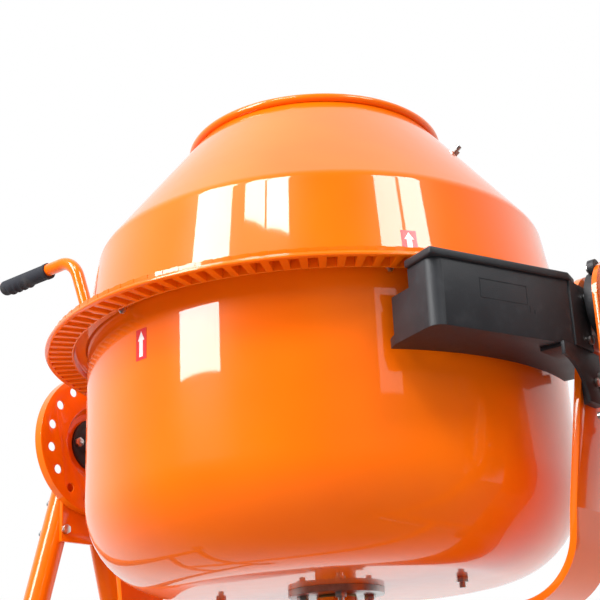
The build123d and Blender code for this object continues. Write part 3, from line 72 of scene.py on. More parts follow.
DRUM = middle("drum_lower")                    # the drum's axis stands here
DRUM_LOW, DRUM_TOP = (v.z for v in corners("drum_lower"))
UPPER_LOW = corners("drum_upper")[0].z
RIM_LOW, RIM_TOP = (v.z for v in corners("mouth_rim"))
RING_LOW, RING_TOP = (v.z for v in corners("ring_gear"))
RING_R = (corners("ring_gear")[1].x - corners("ring_gear")[0].x) / 2
FLANGE_R = (corners("drum_lower")[1].x - corners("drum_lower")[0].x) / 2
RIM_R = (corners("mouth_rim")[1].x - corners("mouth_rim")[0].x) / 2
RING_TEETH = 108

FLANGE_WIDTH = 17.5 * MM
WALL_R = FLANGE_R - FLANGE_WIDTH
SHEET = 2.0 * MM
KNUCKLE_R = 110.0 * MM
SPINDLE_R = 15.0 * MM
BAND_R = 314.0 * MM                            # foot of the upper drum's wall
SHOULDER_R = 297.0 * MM
SHOULDER_Z = RING_LOW + 130.0 * MM
SHOULDER_ROUND = 24.0 * MM
MOUTH_R = 170.0 * MM
MOUTH_Z = RING_LOW + 291.0 * MM
POCKET_IN = RING_R - 34.0 * MM
POCKET_OUT = RING_R - 6.0 * MM
POCKET_DEPTH = 12.0 * MM
POCKET_WIDTH = 10.8 * MM


# ---- Settings a user would change --------------------------------------------------------
class MixerPaint(bpy.types.PropertyGroup):
    """Colours and surface finish."""

    enamel: bpy.props.FloatVectorProperty(
        name="Enamel", description="Colour of the painted steel", subtype="COLOR", size=3,
        min=0, max=1, default=(0.95, 0.160, 0.0008))
    enamel_shade: bpy.props.FloatVectorProperty(
        name="Enamel, thin coat", description="Colour where the coat is thinner", subtype="COLOR", size=3,
        min=0, max=1, default=(0.93, 0.138, 0.0006))
    moulding: bpy.props.FloatVectorProperty(
        name="Moulding", description="Colour of the black plastic", subtype="COLOR", size=3,
        min=0, max=1, default=(0.018, 0.019, 0.022))
    peel: bpy.props.FloatProperty(
        name="Orange peel", description="Depth of the ripple in the enamel", default=0.00005,
        min=0, unit="LENGTH", precision=6)
    grain: bpy.props.FloatProperty(
        name="Grain", description="Depth of the grain in the moulded plastic", default=0.00012,
        min=0, unit="LENGTH", precision=6)


class MixerSizes(bpy.types.PropertyGroup):
    """Sizes of the visible details."""

    edge: bpy.props.FloatProperty(
        name="Edge radius", description="Rounding of cut and moulded edges", default=0.0009,
        min=0, unit="LENGTH", precision=5)
    ring_teeth: bpy.props.IntProperty(
        name="Ring ribs", description="Ribs around the ring gear", default=RING_TEETH, min=3)
    lathe_steps: bpy.props.IntProperty(
        name="Lathe steps", description="Faces around the drum", default=192, min=24)
    tread_lugs: bpy.props.IntProperty(
        name="Tread lugs", description="Lugs around each tyre", default=36, min=3)


# ---- Shader maths ------------------------------------------------------------------------
class Value:
    """A socket that takes part in Python arithmetic; each operation adds one Math node."""

    def __init__(self, make, socket):
        self.make = make
        self.socket = socket

    def _math(self, operation, *values):
        return self.make.node("ShaderNodeMath", {"operation": operation}, dict(enumerate(values)))

    def __add__(self, other):
        return self._math("ADD", self, other)

    __radd__ = __add__

    def __sub__(self, other):
        return self._math("SUBTRACT", self, other)

    def __rsub__(self, other):
        return self._math("SUBTRACT", other, self)

    def __mul__(self, other):
        return self._math("MULTIPLY", self, other)

    __rmul__ = __mul__

    def clipped(self, low, high):
        settings = {"clamp": True}
        values = {"Value": self, "From Min": low, "From Max": high, "To Min": 0.0, "To Max": 1.0}
        return self.make.node("ShaderNodeMapRange", settings, values)


class Finish:
    """One material with a Principled shader, built by named calls."""

    def __init__(self, name):
        self.material = bpy.data.materials.new(name)
        self.material.use_nodes = True
        self.tree = self.material.node_tree
        self.shader = self.tree.nodes["Principled BSDF"]
        self.place = self.node("ShaderNodeTexCoord", {}, {}, "Object")

    def node(self, kind, settings, values, output=0):
        made = self.tree.nodes.new(kind)
        for key, setting in settings.items():
            setattr(made, key, setting)
        for key, value in values.items():
            self.feed(made.inputs[key], value)
        return Value(self, made.outputs[output])

    def feed(self, socket, value):
        if isinstance(value, Value):
            self.tree.links.new(value.socket, socket)
        else:
            socket.default_value = value

    def noise(self, scale, detail=3.0, rough=0.5, place=None):
        values = {"Vector": place or self.place, "Scale": scale, "Detail": detail, "Roughness": rough}
        return self.node("ShaderNodeTexNoise", {}, values)

    def cells(self, scale, place=None):
        return self.node("ShaderNodeTexVoronoi", {}, {"Vector": place or self.place, "Scale": scale})

    def stretched(self, scale):
        return self.node("ShaderNodeMapping", {}, {"Vector": self.place, "Scale": scale})

    def blend(self, share, first, second):
        settings = {"data_type": "RGBA"}
        made = self.node("ShaderNodeMix", settings, {"Factor": share}, 2)
        self.feed(made.socket.node.inputs[6], first if isinstance(first, Value) else (*first, 1.0))
        self.feed(made.socket.node.inputs[7], second if isinstance(second, Value) else (*second, 1.0))
        return made

    def bump(self, height, distance, strength=1.0):
        values = {"Height": height, "Distance": distance, "Strength": strength}
        return self.node("ShaderNodeBump", {}, values)

    def set(self, **sockets):
        for name, value in sockets.items():
            socket = self.shader.inputs[name.replace("_", " ")]
            if isinstance(value, tuple) and len(value) == 3:
                value = (*value, 1.0)
            self.feed(socket, value)
        return self.material


def enamel_finish(paint):
    finish = Finish("orange_enamel")
    drift = finish.noise(5.0, 2.0)
    speck = finish.cells(140.0).clipped(0.0, 0.05)
    colour = finish.blend(drift.clipped(0.42, 0.66), tuple(paint.enamel), tuple(paint.enamel_shade))
    peel = finish.noise(160.0, 2.0) * 0.7 + finish.noise(520.0, 1.0) * 0.3
    rough = 0.26 + 0.10 * finish.noise(38.0, 4.0) + 0.04 * (1.0 - speck)
    return finish.set(
        Base_Color=colour, Roughness=rough, Specular_IOR_Level=0.12, Coat_Weight=0.9, Coat_Roughness=0.03,
        Coat_IOR=1.5,
        Normal=finish.bump(peel, paint.peel))


def moulded_finish(name, colour, rough, grain):
    finish = Finish(name)
    scuff = finish.noise(60.0, 5.0, 0.6)
    haze = finish.noise(9.0, 2.0)
    lighter = tuple(1.9 * c + 0.006 for c in colour)
    shade = finish.blend(scuff.clipped(0.52, 0.80) * 0.55 + haze.clipped(0.4, 0.7) * 0.3, colour, lighter)
    height = finish.cells(1100.0) * 0.6 + finish.noise(2300.0, 2.0) * 0.4
    return finish.set(
        Base_Color=shade, Roughness=rough + 0.16 * scuff, Specular_IOR_Level=0.42,
        Normal=finish.bump(height, grain))


def plated_finish(name, tint, warm, rough):
    finish = Finish(name)
    cloud = finish.noise(120.0, 4.0, 0.65)
    colour = finish.blend(cloud.clipped(0.40, 0.72), tint, warm)
    spangle = finish.cells(420.0)
    return finish.set(
        Base_Color=colour, Metallic=1.0, Roughness=rough + 0.18 * cloud + 0.05 * spangle,
        Normal=finish.bump(finish.noise(900.0, 2.0), 0.00003))


def turned_finish(name, tint, rough, across):
    finish = Finish(name)
    lines = finish.noise(1.0, 3.0, 0.6, finish.stretched(across))
    stain = finish.noise(45.0, 4.0, 0.6)
    colour = finish.blend(stain.clipped(0.45, 0.75), tint, tuple(0.62 * c for c in tint))
    return finish.set(
        Base_Color=colour, Metallic=1.0, Roughness=rough + 0.2 * lines,
        Normal=finish.bump(lines, 0.00004))


def cast_finish(name, tint, metallic):
    finish = Finish(name)
    sand = finish.noise(700.0, 4.0, 0.7)
    colour = finish.blend(finish.noise(30.0, 4.0).clipped(0.4, 0.7), tint, tuple(0.6 * c for c in tint))
    return finish.set(
        Base_Color=colour, Metallic=metallic, Roughness=0.48 + 0.2 * sand,
        Normal=finish.bump(sand, 0.00025))


def rubber_finish(name, colour):
    finish = Finish(name)
    dust = finish.noise(24.0, 6.0, 0.65).clipped(0.5, 0.78)
    shade = finish.blend(dust * 0.5, colour, (0.10, 0.095, 0.085))
    return finish.set(
        Base_Color=shade, Roughness=0.62 + 0.2 * finish.noise(80.0, 3.0), Specular_IOR_Level=0.35,
        Normal=finish.bump(finish.noise(1500.0, 3.0), 0.00012))


def film_finish(name, colour):
    finish = Finish(name)
    darker = tuple(0.86 * c for c in colour)
    shade = finish.blend(finish.noise(160.0, 2.0).clipped(0.4, 0.7), colour, darker)
    return finish.set(
        Base_Color=shade, Roughness=0.3 + 0.12 * finish.noise(300.0, 2.0), Coat_Weight=0.4,
        Coat_Roughness=0.08, Normal=finish.bump(finish.noise(90.0, 2.0), 0.00006))


def make_finishes(paint):
    black = tuple(paint.moulding)
    return {
        "orange_paint": enamel_finish(paint),
        "black_plastic": moulded_finish("black_moulding", black, 0.40, paint.grain),
        "rim_plastic": moulded_finish("wheel_moulding", (0.03, 0.03, 0.033), 0.45, paint.grain),
        "pulley_plastic": moulded_finish("pulley_moulding", (0.035, 0.035, 0.036), 0.5, paint.grain),
        "grip_rubber": rubber_finish("grip_rubber", (0.022, 0.024, 0.032)),
        "tyre_rubber": rubber_finish("tyre_rubber", (0.020, 0.020, 0.021)),
        "belt_rubber": rubber_finish("belt_rubber", (0.015, 0.015, 0.015)),
        "zinc": plated_finish("zinc_plate", (0.80, 0.81, 0.82), (0.72, 0.69, 0.60), 0.20),
        "bare_steel": turned_finish("turned_steel", (0.58, 0.57, 0.56), 0.24, (900.0, 40.0, 40.0)),
        "bronze": turned_finish("sintered_bronze", (0.58, 0.38, 0.16), 0.34, (500.0, 500.0, 500.0)),
        "cast_gear": cast_finish("cast_gear", (0.19, 0.19, 0.20), 0.85),
        "motor_alloy": cast_finish("motor_casting", (0.60, 0.61, 0.62), 0.9),
        "label": film_finish("label_red", (0.74, 0.012, 0.012)),
        "arrow": film_finish("label_white", (0.86, 0.85, 0.84)),
        "green_plastic": film_finish("green_button", (0.010, 0.30, 0.06)),
        "red_plastic": film_finish("red_button", (0.62, 0.012, 0.010)),
    }


FINISH = {}


# ---- Mesh helpers ------------------------------------------------------------------------
def add_object(name, mesh, finish):
    piece = bpy.data.objects.new(name, mesh)
    bpy.context.scene.collection.objects.link(piece)
    mesh.materials.clear()
    mesh.materials.append(FINISH[finish])
    return piece


def from_bmesh(name, bm, finish, sharp=40.0):
    mesh = bpy.data.meshes.new(name)
    bmesh.ops.recalc_face_normals(bm, faces=bm.faces)
    bm.to_mesh(mesh)
    bm.free()
    mesh.shade_smooth()
    mesh.set_sharp_from_angle(angle=radians(sharp))
    return add_object(name, mesh, finish)


def frozen(piece, sharp=40.0):
    """Turns a piece with modifiers into a plain mesh of the same name."""
    graph = bpy.context.evaluated_depsgraph_get()
    mesh = bpy.data.meshes.new_from_object(piece.evaluated_get(graph), depsgraph=graph)
    piece.modifiers.clear()
    piece.data = mesh
    mesh.shade_smooth()
    mesh.set_sharp_from_angle(angle=radians(sharp))
    return piece


def settle(piece, body, slot, *nodes):
    """Attaches a finished piece to the body it rides on and hides the nodes it stands for; slot is not
    used.
    """
    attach(piece, body)
    if nodes:
        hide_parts(*nodes)
    return piece


def body_of_node(node):
    return next(b for b, members in frame["record"]["behaviour"]["bodies"].items() if node in members)


def slot_of_node(node):
    return next(s["material_slot"] for s in frame["record"]["subparts"] if s["node"] == node)


def rounded_section(points, rounds, step=radians(7.0)):
    """(r, z) outline with the named corners rounded; rounds maps a point's index to a radius."""
    out = []
    count = len(points)
    for k, point in enumerate(points):
        radius = rounds.get(k, 0.0)
        here = Vector(point)
        if not radius:
            out.append(here)
            continue
        before = (Vector(points[(k - 1) % count]) - here).normalized()
        after = (Vector(points[(k + 1) % count]) - here).normalized()
        half = before.angle(after) / 2
        reach = radius / sin(half) * cos(half)
        centre = here + (before + after).normalized() * (radius / sin(half))
        start = here + before * reach - centre
        sweep = start.angle_signed(here + after * reach - centre)
        parts = max(2, int(abs(sweep) / step) + 1)
        for n in range(parts + 1):
            turn = Matrix.Rotation(-sweep * n / parts, 2)
            out.append(centre + turn @ start)
    return out


def lathe(name, section, finish, steps, centre=None, axis="Z", sharp=35.0):
    """Closed ring turned from an (r, z) section about an axis through a centre."""
    centre = DRUM if centre is None else centre
    bm = bmesh.new()
    loops = []
    for k in range(steps):
        angle = 2 * pi * k / steps
        loop = []
        for r, z in section:
            place = {
                "Z": Vector((centre.x + r * cos(angle), centre.y + r * sin(angle), z)),
                "X": Vector((z, centre.y + r * cos(angle), centre.z + r * sin(angle))),
                "Y": Vector((centre.x + r * cos(angle), z, centre.z + r * sin(angle))),
            }[axis]
            loop.append(bm.verts.new(place))
        loops.append(loop)
    count = len(section)
    for k in range(steps):
        near, far = loops[k], loops[(k + 1) % steps]
        for n in range(count):
            m = (n + 1) % count
            bm.faces.new((near[n], far[n], far[m], near[m]))
    bmesh.ops.remove_doubles(bm, verts=bm.verts, dist=1e-6)
    return from_bmesh(name, bm, finish, sharp)


def softened(node, width=None, finish=None, name=None, limit=32.0, segments=2):
    """Copy of a CAD node with its sharp edges rounded, which then stands for the node."""
    sizes = bpy.context.scene.mixer_sizes
    width = sizes.edge if width is None else width
    mesh = frame["nodes"][node].data.copy()
    bm = bmesh.new()
    bm.from_mesh(mesh)
    bmesh.ops.remove_doubles(bm, verts=bm.verts, dist=2e-6)
    bmesh.ops.dissolve_limit(
        bm, angle_limit=radians(0.6), use_dissolve_boundaries=False, verts=bm.verts, edges=bm.edges)
    bm.to_mesh(mesh)
    bm.free()
    piece = add_object(name or f"{node}_finished", mesh, finish or slot_of_node(node))
    if width:
        bevel = piece.modifiers.new("edges", "BEVEL")
        bevel.width = width
        bevel.segments = segments
        bevel.limit_method = "ANGLE"
        bevel.angle_limit = radians(limit)
        bevel.use_clamp_overlap = True
        weight = piece.modifiers.new("shading", "WEIGHTED_NORMAL")
        weight.keep_sharp = True
    frozen(piece, 38.0)
    return settle(piece, body_of_node(node), slot_of_node(node), node)


# ---- Repeating pieces --------------------------------------------------------------------
def ring_tree():
    """Node tree that repeats the incoming shape around Z and moves the result into place."""
    tree = bpy.data.node_groups.new("Repeat around", "GeometryNodeTree")
    face = tree.interface
    face.new_socket("Shape", in_out="INPUT", socket_type="NodeSocketGeometry")
    face.new_socket("Count", in_out="INPUT", socket_type="NodeSocketInt")
    face.new_socket("First Angle", in_out="INPUT", socket_type="NodeSocketFloat")
    face.new_socket("Turn", in_out="INPUT", socket_type="NodeSocketRotation")
    face.new_socket("Centre", in_out="INPUT", socket_type="NodeSocketVector")
    face.new_socket("Finish", in_out="INPUT", socket_type="NodeSocketMaterial")
    face.new_socket("Shape", in_out="OUTPUT", socket_type="NodeSocketGeometry")
    nodes, links = tree.nodes, tree.links
    start = nodes.new("NodeGroupInput")
    points = nodes.new("GeometryNodePoints")
    index = nodes.new("GeometryNodeInputIndex")
    step = nodes.new("ShaderNodeMath")
    step.operation = "DIVIDE"
    step.inputs[0].default_value = 2 * pi
    angle = nodes.new("ShaderNodeMath")
    angle.operation = "MULTIPLY_ADD"
    spin = nodes.new("ShaderNodeCombineXYZ")
    place = nodes.new("GeometryNodeInstanceOnPoints")
    solid = nodes.new("GeometryNodeRealizeInstances")
    move = nodes.new("GeometryNodeTransform")
    paint = nodes.new("GeometryNodeSetMaterial")
    end = nodes.new("NodeGroupOutput")
    links.new(start.outputs["Count"], points.inputs["Count"])
    links.new(start.outputs["Count"], step.inputs[1])
    links.new(index.outputs[0], angle.inputs[0])
    links.new(step.outputs[0], angle.inputs[1])
    links.new(start.outputs["First Angle"], angle.inputs[2])
    links.new(angle.outputs[0], spin.inputs["Z"])
    links.new(points.outputs[0], place.inputs["Points"])
    links.new(start.outputs["Shape"], place.inputs["Instance"])
    links.new(spin.outputs[0], place.inputs["Rotation"])
    links.new(place.outputs[0], solid.inputs[0])
    links.new(solid.outputs[0], move.inputs["Geometry"])
    links.new(start.outputs["Turn"], move.inputs["Rotation"])
    links.new(start.outputs["Centre"], move.inputs["Translation"])
    links.new(move.outputs[0], paint.inputs["Geometry"])
    links.new(start.outputs["Finish"], paint.inputs["Material"])
    links.new(paint.outputs[0], end.inputs[0])
    return tree


def feed_modifier(modifier, **values):
    """Sets a Geometry Nodes modifier's inputs by the names of its tree's sockets."""
    for item in modifier.node_group.interface.items_tree:
        key = item.name.replace(" ", "_").lower()
        if item.in_out == "INPUT" and key in values:
            modifier[item.identifier] = values[key]


def repeat_around(piece, finish, count, centre, first=0.0, turn=(0.0, 0.0, 0.0)):
    modifier = piece.modifiers.new("around", "NODES")
    modifier.node_group = bpy.data.node_groups.get("Repeat around") or ring_tree()
    feed_modifier(modifier, count=count, first_angle=first, turn=turn, centre=tuple(centre),
                  finish=FINISH[finish])
    return frozen(piece)


def joined(name, pieces):
    """One piece from several finished meshes."""
    bm = bmesh.new()
    for piece in pieces:
        bm.from_mesh(piece.data)
    mesh = bpy.data.meshes.new(name)
    bm.to_mesh(mesh)
    bm.free()
    mesh.materials.append(pieces[0].data.materials[0])
    mesh.shade_smooth()
    mesh.set_sharp_from_angle(angle=radians(38.0))
    whole = bpy.data.objects.new(name, mesh)
    bpy.context.scene.collection.objects.link(whole)
    for piece in pieces:
        bpy.data.objects.remove(piece)
    return whole


def add_lathe(bm, section, steps, matrix):
    """Turns (r, z) points about Z into an existing mesh; points on the axis close the ends."""
    rings = []
    for r, z in section:
        if r < 1e-7:
            rings.append([bm.verts.new(matrix @ Vector((0, 0, z)))])
        else:
            rings.append([
                bm.verts.new(matrix @ Vector((r * cos(2 * pi * k / steps), r * sin(2 * pi * k / steps), z)))
                for k in range(steps)
            ])
    for low, high in zip(rings, rings[1:]):
        for k in range(steps):
            m = (k + 1) % steps
            if len(low) == 1:
                bm.faces.new((low[0], high[k], high[m]))
            elif len(high) == 1:
                bm.faces.new((low[k], low[m], high[0]))
            else:
                bm.faces.new((low[k], low[m], high[m], high[k]))


def add_hexagon(bm, radius, low, high, chamfer, matrix):
    """Hexagon head or nut with turned-off corners; radius is to its corners."""
    add_lathe(bm, [
        (0, low), (radius - chamfer, low), (radius, low + chamfer * 0.6), (radius, high - chamfer * 0.6),
        (radius - chamfer, high), (0, high)], 6, matrix)


def threaded_end(radius, low, high, pitch):
    """(r, z) points of a shank whose end shows its thread as fine grooves."""
    points = [(0, low), (radius * 0.8, low), (radius, low + radius * 0.2)]
    turns = int((high - low) / pitch)
    for k in range(1, turns):
        z = low + radius * 0.2 + k * pitch
        points += [(radius * 0.90, z - pitch * 0.25), (radius, z + pitch * 0.25)]
    return points + [(radius, high), (0, high)]


def bolt_mesh(name, radius, grip, finish):
    """Bolt along -Z with its head's seat at z = 0, washers, nut and thread end."""
    bm = bmesh.new()
    flat = Matrix.Identity(4)
    add_hexagon(bm, radius * 1.82, 0.3 * radius, 1.5 * radius, radius * 0.22, flat)
    add_lathe(bm, [(0, 0.0), (radius * 2.1, 0.0), (radius * 2.1, 0.3 * radius),
                   (0, 0.3 * radius)], 24, flat)
    add_lathe(bm, [(0, -grip - 0.3 * radius), (radius * 2.1, -grip - 0.3 * radius), (radius * 2.1, -grip),
                   (0, -grip)], 24, flat)
    add_hexagon(bm, radius * 1.82, -grip - 1.9 * radius, -grip - 0.3 * radius, radius * 0.22, flat)
    add_lathe(bm, [(0, -grip - 2.5 * radius), (radius * 1.35, -grip - 2.5 * radius),
                   (radius * 1.5, -grip - 1.9 * radius), (0, -grip - 1.9 * radius)], 24, flat)
    add_lathe(bm, threaded_end(radius, -grip - 3.2 * radius, -grip, radius * 0.3), 20, flat)
    return from_bmesh(name, bm, finish)


# ---- Drum --------------------------------------------------------------------------------
class MIXER_OT_drum(bpy.types.Operator):
    """Two drum halves, the rolled mouth and the mixing paddles"""

    bl_idname = "mixer.drum"
    bl_label = "Drum"

    def execute(self, context):
        steps = context.scene.mixer_sizes.lathe_steps
        flange = DRUM_TOP - SHEET
        lower = rounded_section([
            (SPINDLE_R, DRUM_LOW), (WALL_R, DRUM_LOW), (WALL_R, flange), (FLANGE_R, flange),
            (FLANGE_R, DRUM_TOP), (WALL_R - SHEET, DRUM_TOP), (WALL_R - SHEET, DRUM_LOW + SHEET),
            (SPINDLE_R, DRUM_LOW + SHEET),
        ], {1: KNUCKLE_R, 2: 2.5 * MM, 3: 0.8 * MM, 4: 0.8 * MM, 6: KNUCKLE_R - SHEET})
        shell = lathe("drum_lower_shell", lower, "orange_paint", steps)
        settle(shell, "drum", "orange_paint", "drum_lower")
        lip = UPPER_LOW + SHEET
        edge = MOUTH_Z + 2.0 * MM
        wall = 2.02 * MM
        cone = 2.6 * MM
        upper = rounded_section([
            (FLANGE_R, UPPER_LOW), (FLANGE_R, lip), (BAND_R, lip), (SHOULDER_R, SHOULDER_Z),
            (MOUTH_R - 1.6 * MM, edge), (MOUTH_R - 1.6 * MM - cone, edge),
            (SHOULDER_R - wall, SHOULDER_Z - 0.6 * MM), (BAND_R - wall, UPPER_LOW),
        ], {0: 0.8 * MM, 1: 0.8 * MM, 2: 3.0 * MM, 3: SHOULDER_ROUND, 6: SHOULDER_ROUND - SHEET})
        shell = lathe("drum_upper_shell", upper, "orange_paint", steps)
        settle(shell, "drum", "orange_paint", "drum_upper")
        bead_r = (RIM_TOP - RIM_LOW) / 2
        centre_r = RIM_R - bead_r
        bead = [(centre_r + bead_r * cos(2 * pi * k / 20), RIM_LOW + bead_r + bead_r * sin(2 * pi * k / 20))
                for k in range(20)]
        settle(lathe("mouth_bead", bead, "orange_paint", steps), "drum", "orange_paint", "mouth_rim")
        softened("mixing_paddles", 0.0012)
        return {"FINISHED"}


class MIXER_OT_ring_gear(bpy.types.Operator):
    """Cast ring gear around the drum's flange, with a rib between each two pockets"""

    bl_idname = "mixer.ring_gear"
    bl_label = "Ring gear"

    def execute(self, context):
        sizes = context.scene.mixer_sizes
        web = RING_LOW + 8.0 * MM
        roof = RING_LOW + POCKET_DEPTH
        bore = WALL_R + 2.5 * MM
        section = rounded_section([
            (bore, web), (POCKET_IN - 3.5 * MM, web), (POCKET_IN - 2.5 * MM, RING_LOW),
            (POCKET_IN, RING_LOW), (POCKET_IN, roof), (POCKET_OUT, roof), (POCKET_OUT, RING_LOW),
            (RING_R, RING_LOW), (RING_R, RING_LOW + 3.0 * MM), (RING_R - 18.0 * MM, RING_TOP),
            (FLANGE_R + 2.0 * MM, RING_TOP), (FLANGE_R + 2.0 * MM, DRUM_TOP - SHEET),
            (bore, DRUM_TOP - SHEET),
        ], {
            1: 3.2 * MM, 2: 1.0 * MM, 3: 0.8 * MM, 6: 0.8 * MM, 7: 1.6 * MM, 8: 1.2 * MM,
            9: 7.0 * MM, 10: 0.8 * MM,
        })
        body = lathe("ring_body", section, "orange_paint", 216)
        rib = self.rib(sizes.ring_teeth)
        centre = (DRUM.x, DRUM.y, 0.0)
        repeat_around(rib, "orange_paint", sizes.ring_teeth, centre, pi / sizes.ring_teeth)
        settle(joined("ring_gear_ribbed", [body, rib]), "drum", "orange_paint", "ring_gear")
        return {"FINISHED"}

    def rib(self, teeth):
        """Wedge between two pockets, on the +X side of the axis, with rounded lower edges."""
        bm = bmesh.new()
        inner, outer = POCKET_IN - 0.4 * MM, POCKET_OUT + 0.4 * MM
        low, roof = RING_LOW, RING_LOW + POCKET_DEPTH + 0.4 * MM
        round_off = 1.1 * MM
        rows = []
        for r in (inner, (inner + outer) / 2, outer):
            half = pi * r / teeth - POCKET_WIDTH / 2
            shape = [(-half, roof), (-half, low + round_off),
                     (-half + 0.3 * round_off, low + 0.3 * round_off),
                     (-half + round_off, low), (half - round_off, low),
                     (half - 0.3 * round_off, low + 0.3 * round_off), (half, low + round_off), (half, roof)]
            rows.append([bm.verts.new((r, y, z)) for y, z in shape])
        for near, far in zip(rows, rows[1:]):
            for k in range(len(near) - 1):
                bm.faces.new((near[k], near[k + 1], far[k + 1], far[k]))
            bm.faces.new((near[-1], near[0], far[0], far[-1]))
        bm.faces.new(rows[0])
        bm.faces.new(rows[-1])
        return from_bmesh("ring_ribs", bm, "orange_paint")


class MIXER_OT_drum_fasteners(bpy.types.Operator):
    """Zinc bolts of the flange, the paddles, the spindle and the bearing housing"""

    bl_idname = "mixer.drum_fasteners"
    bl_label = "Drum fasteners"

    def execute(self, context):
        high = corners("flange_bolts")[1]
        radius = 3.0 * MM
        grip = 8.0 * MM
        seat = high.z - 1.3 * radius
        bolt = bolt_mesh("flange_bolt_set", radius, grip, "zinc")
        bolt.data.transform(Matrix.Translation((FLANGE_R - 7.0 * MM, 0, 0)))
        repeat_around(bolt, "zinc", 6, (DRUM.x, DRUM.y, seat), radians(-98.5))
        settle(bolt, "drum", "zinc", "flange_bolts")
        for node in ("paddle_bolts", "spindle_fasteners", "bearing_bolts"):
            softened(node, 0.0004)
        return {"FINISHED"}


def wall_patch(name, finish, outline, radius_at, azimuth, low, lift, thick):
    """Thin film on the drum: outline points are (along the wall, up) from the film's lower left."""
    bm = bmesh.new()
    layers = []
    for out in (lift, lift + thick):
        layer = []
        for along, up in outline:
            r = radius_at(low + up) + out
            angle = azimuth + along / r
            layer.append(bm.verts.new((DRUM.x + r * cos(angle), DRUM.y + r * sin(angle), low + up)))
        layers.append(layer)
    count = len(outline)
    bm.faces.new(layers[1])
    bm.faces.new(reversed(layers[0]))
    for k in range(count):
        m = (k + 1) % count
        bm.faces.new((layers[0][k], layers[0][m], layers[1][m], layers[1][k]))
    return from_bmesh(name, bm, finish, 30.0)


class MIXER_OT_labels(bpy.types.Operator):
    """Two small films with an upward arrow, one on each drum half"""

    bl_idname = "mixer.labels"
    bl_label = "Alignment labels"

    def execute(self, context):
        def lower_r(z):
            return WALL_R

        def upper_r(z):
            share = (z - UPPER_LOW - SHEET) / (SHOULDER_Z - UPPER_LOW - SHEET)
            return BAND_R + share * (SHOULDER_R - BAND_R)

        places = (
            (lower_r, radians(-96.0), RING_LOW - 62.0 * MM, 18.4 * MM, 37.0 * MM),
            (upper_r, radians(-35.0), UPPER_LOW + SHEET + 8.0 * MM, 18.4 * MM, 30.0 * MM),
        )
        films, arrows = [], []
        for k, (radius_at, azimuth, low, wide, tall) in enumerate(places):
            strips = 6
            frame_points = [(wide * n / strips, 0.0) for n in range(strips + 1)]
            frame_points += [(wide * (strips - n) / strips, tall) for n in range(strips + 1)]
            film = wall_patch(f"film_{k}", "label", frame_points, radius_at, azimuth, low, 0.00005, 0.00025)
            films.append(film)
            half = wide / 2
            stem, head = 0.17 * wide, 0.31 * wide
            neck, tip, foot = 0.62 * tall, 0.92 * tall, 0.10 * tall
            arrow = [(half - stem, foot), (half + stem, foot), (half + stem, neck), (half + head, neck),
                     (half, tip), (half - head, neck), (half - stem, neck)]
            sign = wall_patch(f"arrow_{k}", "arrow", arrow, radius_at, azimuth, low, 0.00030, 0.0001)
            arrows.append(sign)
        settle(joined("label_films", films), "drum", "label", "alignment_labels")
        settle(joined("label_arrows", arrows), "drum", "label")
        return {"FINISHED"}


# ---- Guard and yoke ----------------------------------------------------------------------
class MIXER_OT_guard(bpy.types.Operator):
    """Moulded guard over the pinion, its lid, bracket, screws and blank label recess"""

    bl_idname = "mixer.guard"
    bl_label = "Pinion guard"

    def execute(self, context):
        softened("pinion_guard", 0.0016, segments=3)
        softened("guard_lid", 0.0022, segments=3)
        softened("guard_bracket", 0.0010, "black_plastic")
        softened("guard_screws", 0.0004)
        self.label_rim()
        return {"FINISHED"}

    def label_rim(self):
        """Fine raised line around a blank rectangle on the outer face, and two short marks."""
        turn = radians(20.5)
        along = Vector((-sin(turn), -cos(turn), 0.0))
        out = Vector((cos(turn), -sin(turn), 0.0))
        corner = Vector((DRUM.x + 391.7 * MM, -68.7 * MM, 0.0))
        low, high = RING_LOW - 52.5 * MM, RING_LOW - 31.0 * MM
        near, far = 58.0 * MM, 121.0 * MM
        line = 0.9 * MM
        bars = [
            (near, far, low, low + line), (near, far, high - line, high), (near, near + line, low, high),
            (far - line, far, low, high), (55.0 * MM, 56.0 * MM, low - 8.0 * MM, low - 1.0 * MM),
            (49.0 * MM, 50.0 * MM, low - 9.0 * MM, low - 5.0 * MM),
        ]
        bm = bmesh.new()
        for a, b, c, d in bars:
            made = bmesh.ops.create_cube(bm, size=1.0)["verts"]
            for v in made:
                s = a + (v.co.x + 0.5) * (b - a)
                z = c + (v.co.y + 0.5) * (d - c)
                v.co = corner + along * s + out * (0.55 * MM * (v.co.z + 0.1)) + Vector((0, 0, z))
        piece = from_bmesh("guard_blank_label", bm, "black_plastic", 30.0)
        settle(piece, "yoke", "black_plastic")


class MIXER_OT_yoke(bpy.types.Operator):
    """Bent bar around the drum, with its bearing housing and trunnions"""

    bl_idname = "mixer.yoke"
    bl_label = "Yoke"

    def execute(self, context):
        softened("yoke_bow", 0.0012)
        softened("drum_bearing_housing", 0.0010)
        for node in ("right_trunnion", "left_trunnion", "drum_spindle", "drum_bush", "shaft_bushes"):
            softened(node, 0.0005)
        softened("trunnion_circlip", 0.0003)
        return {"FINISHED"}


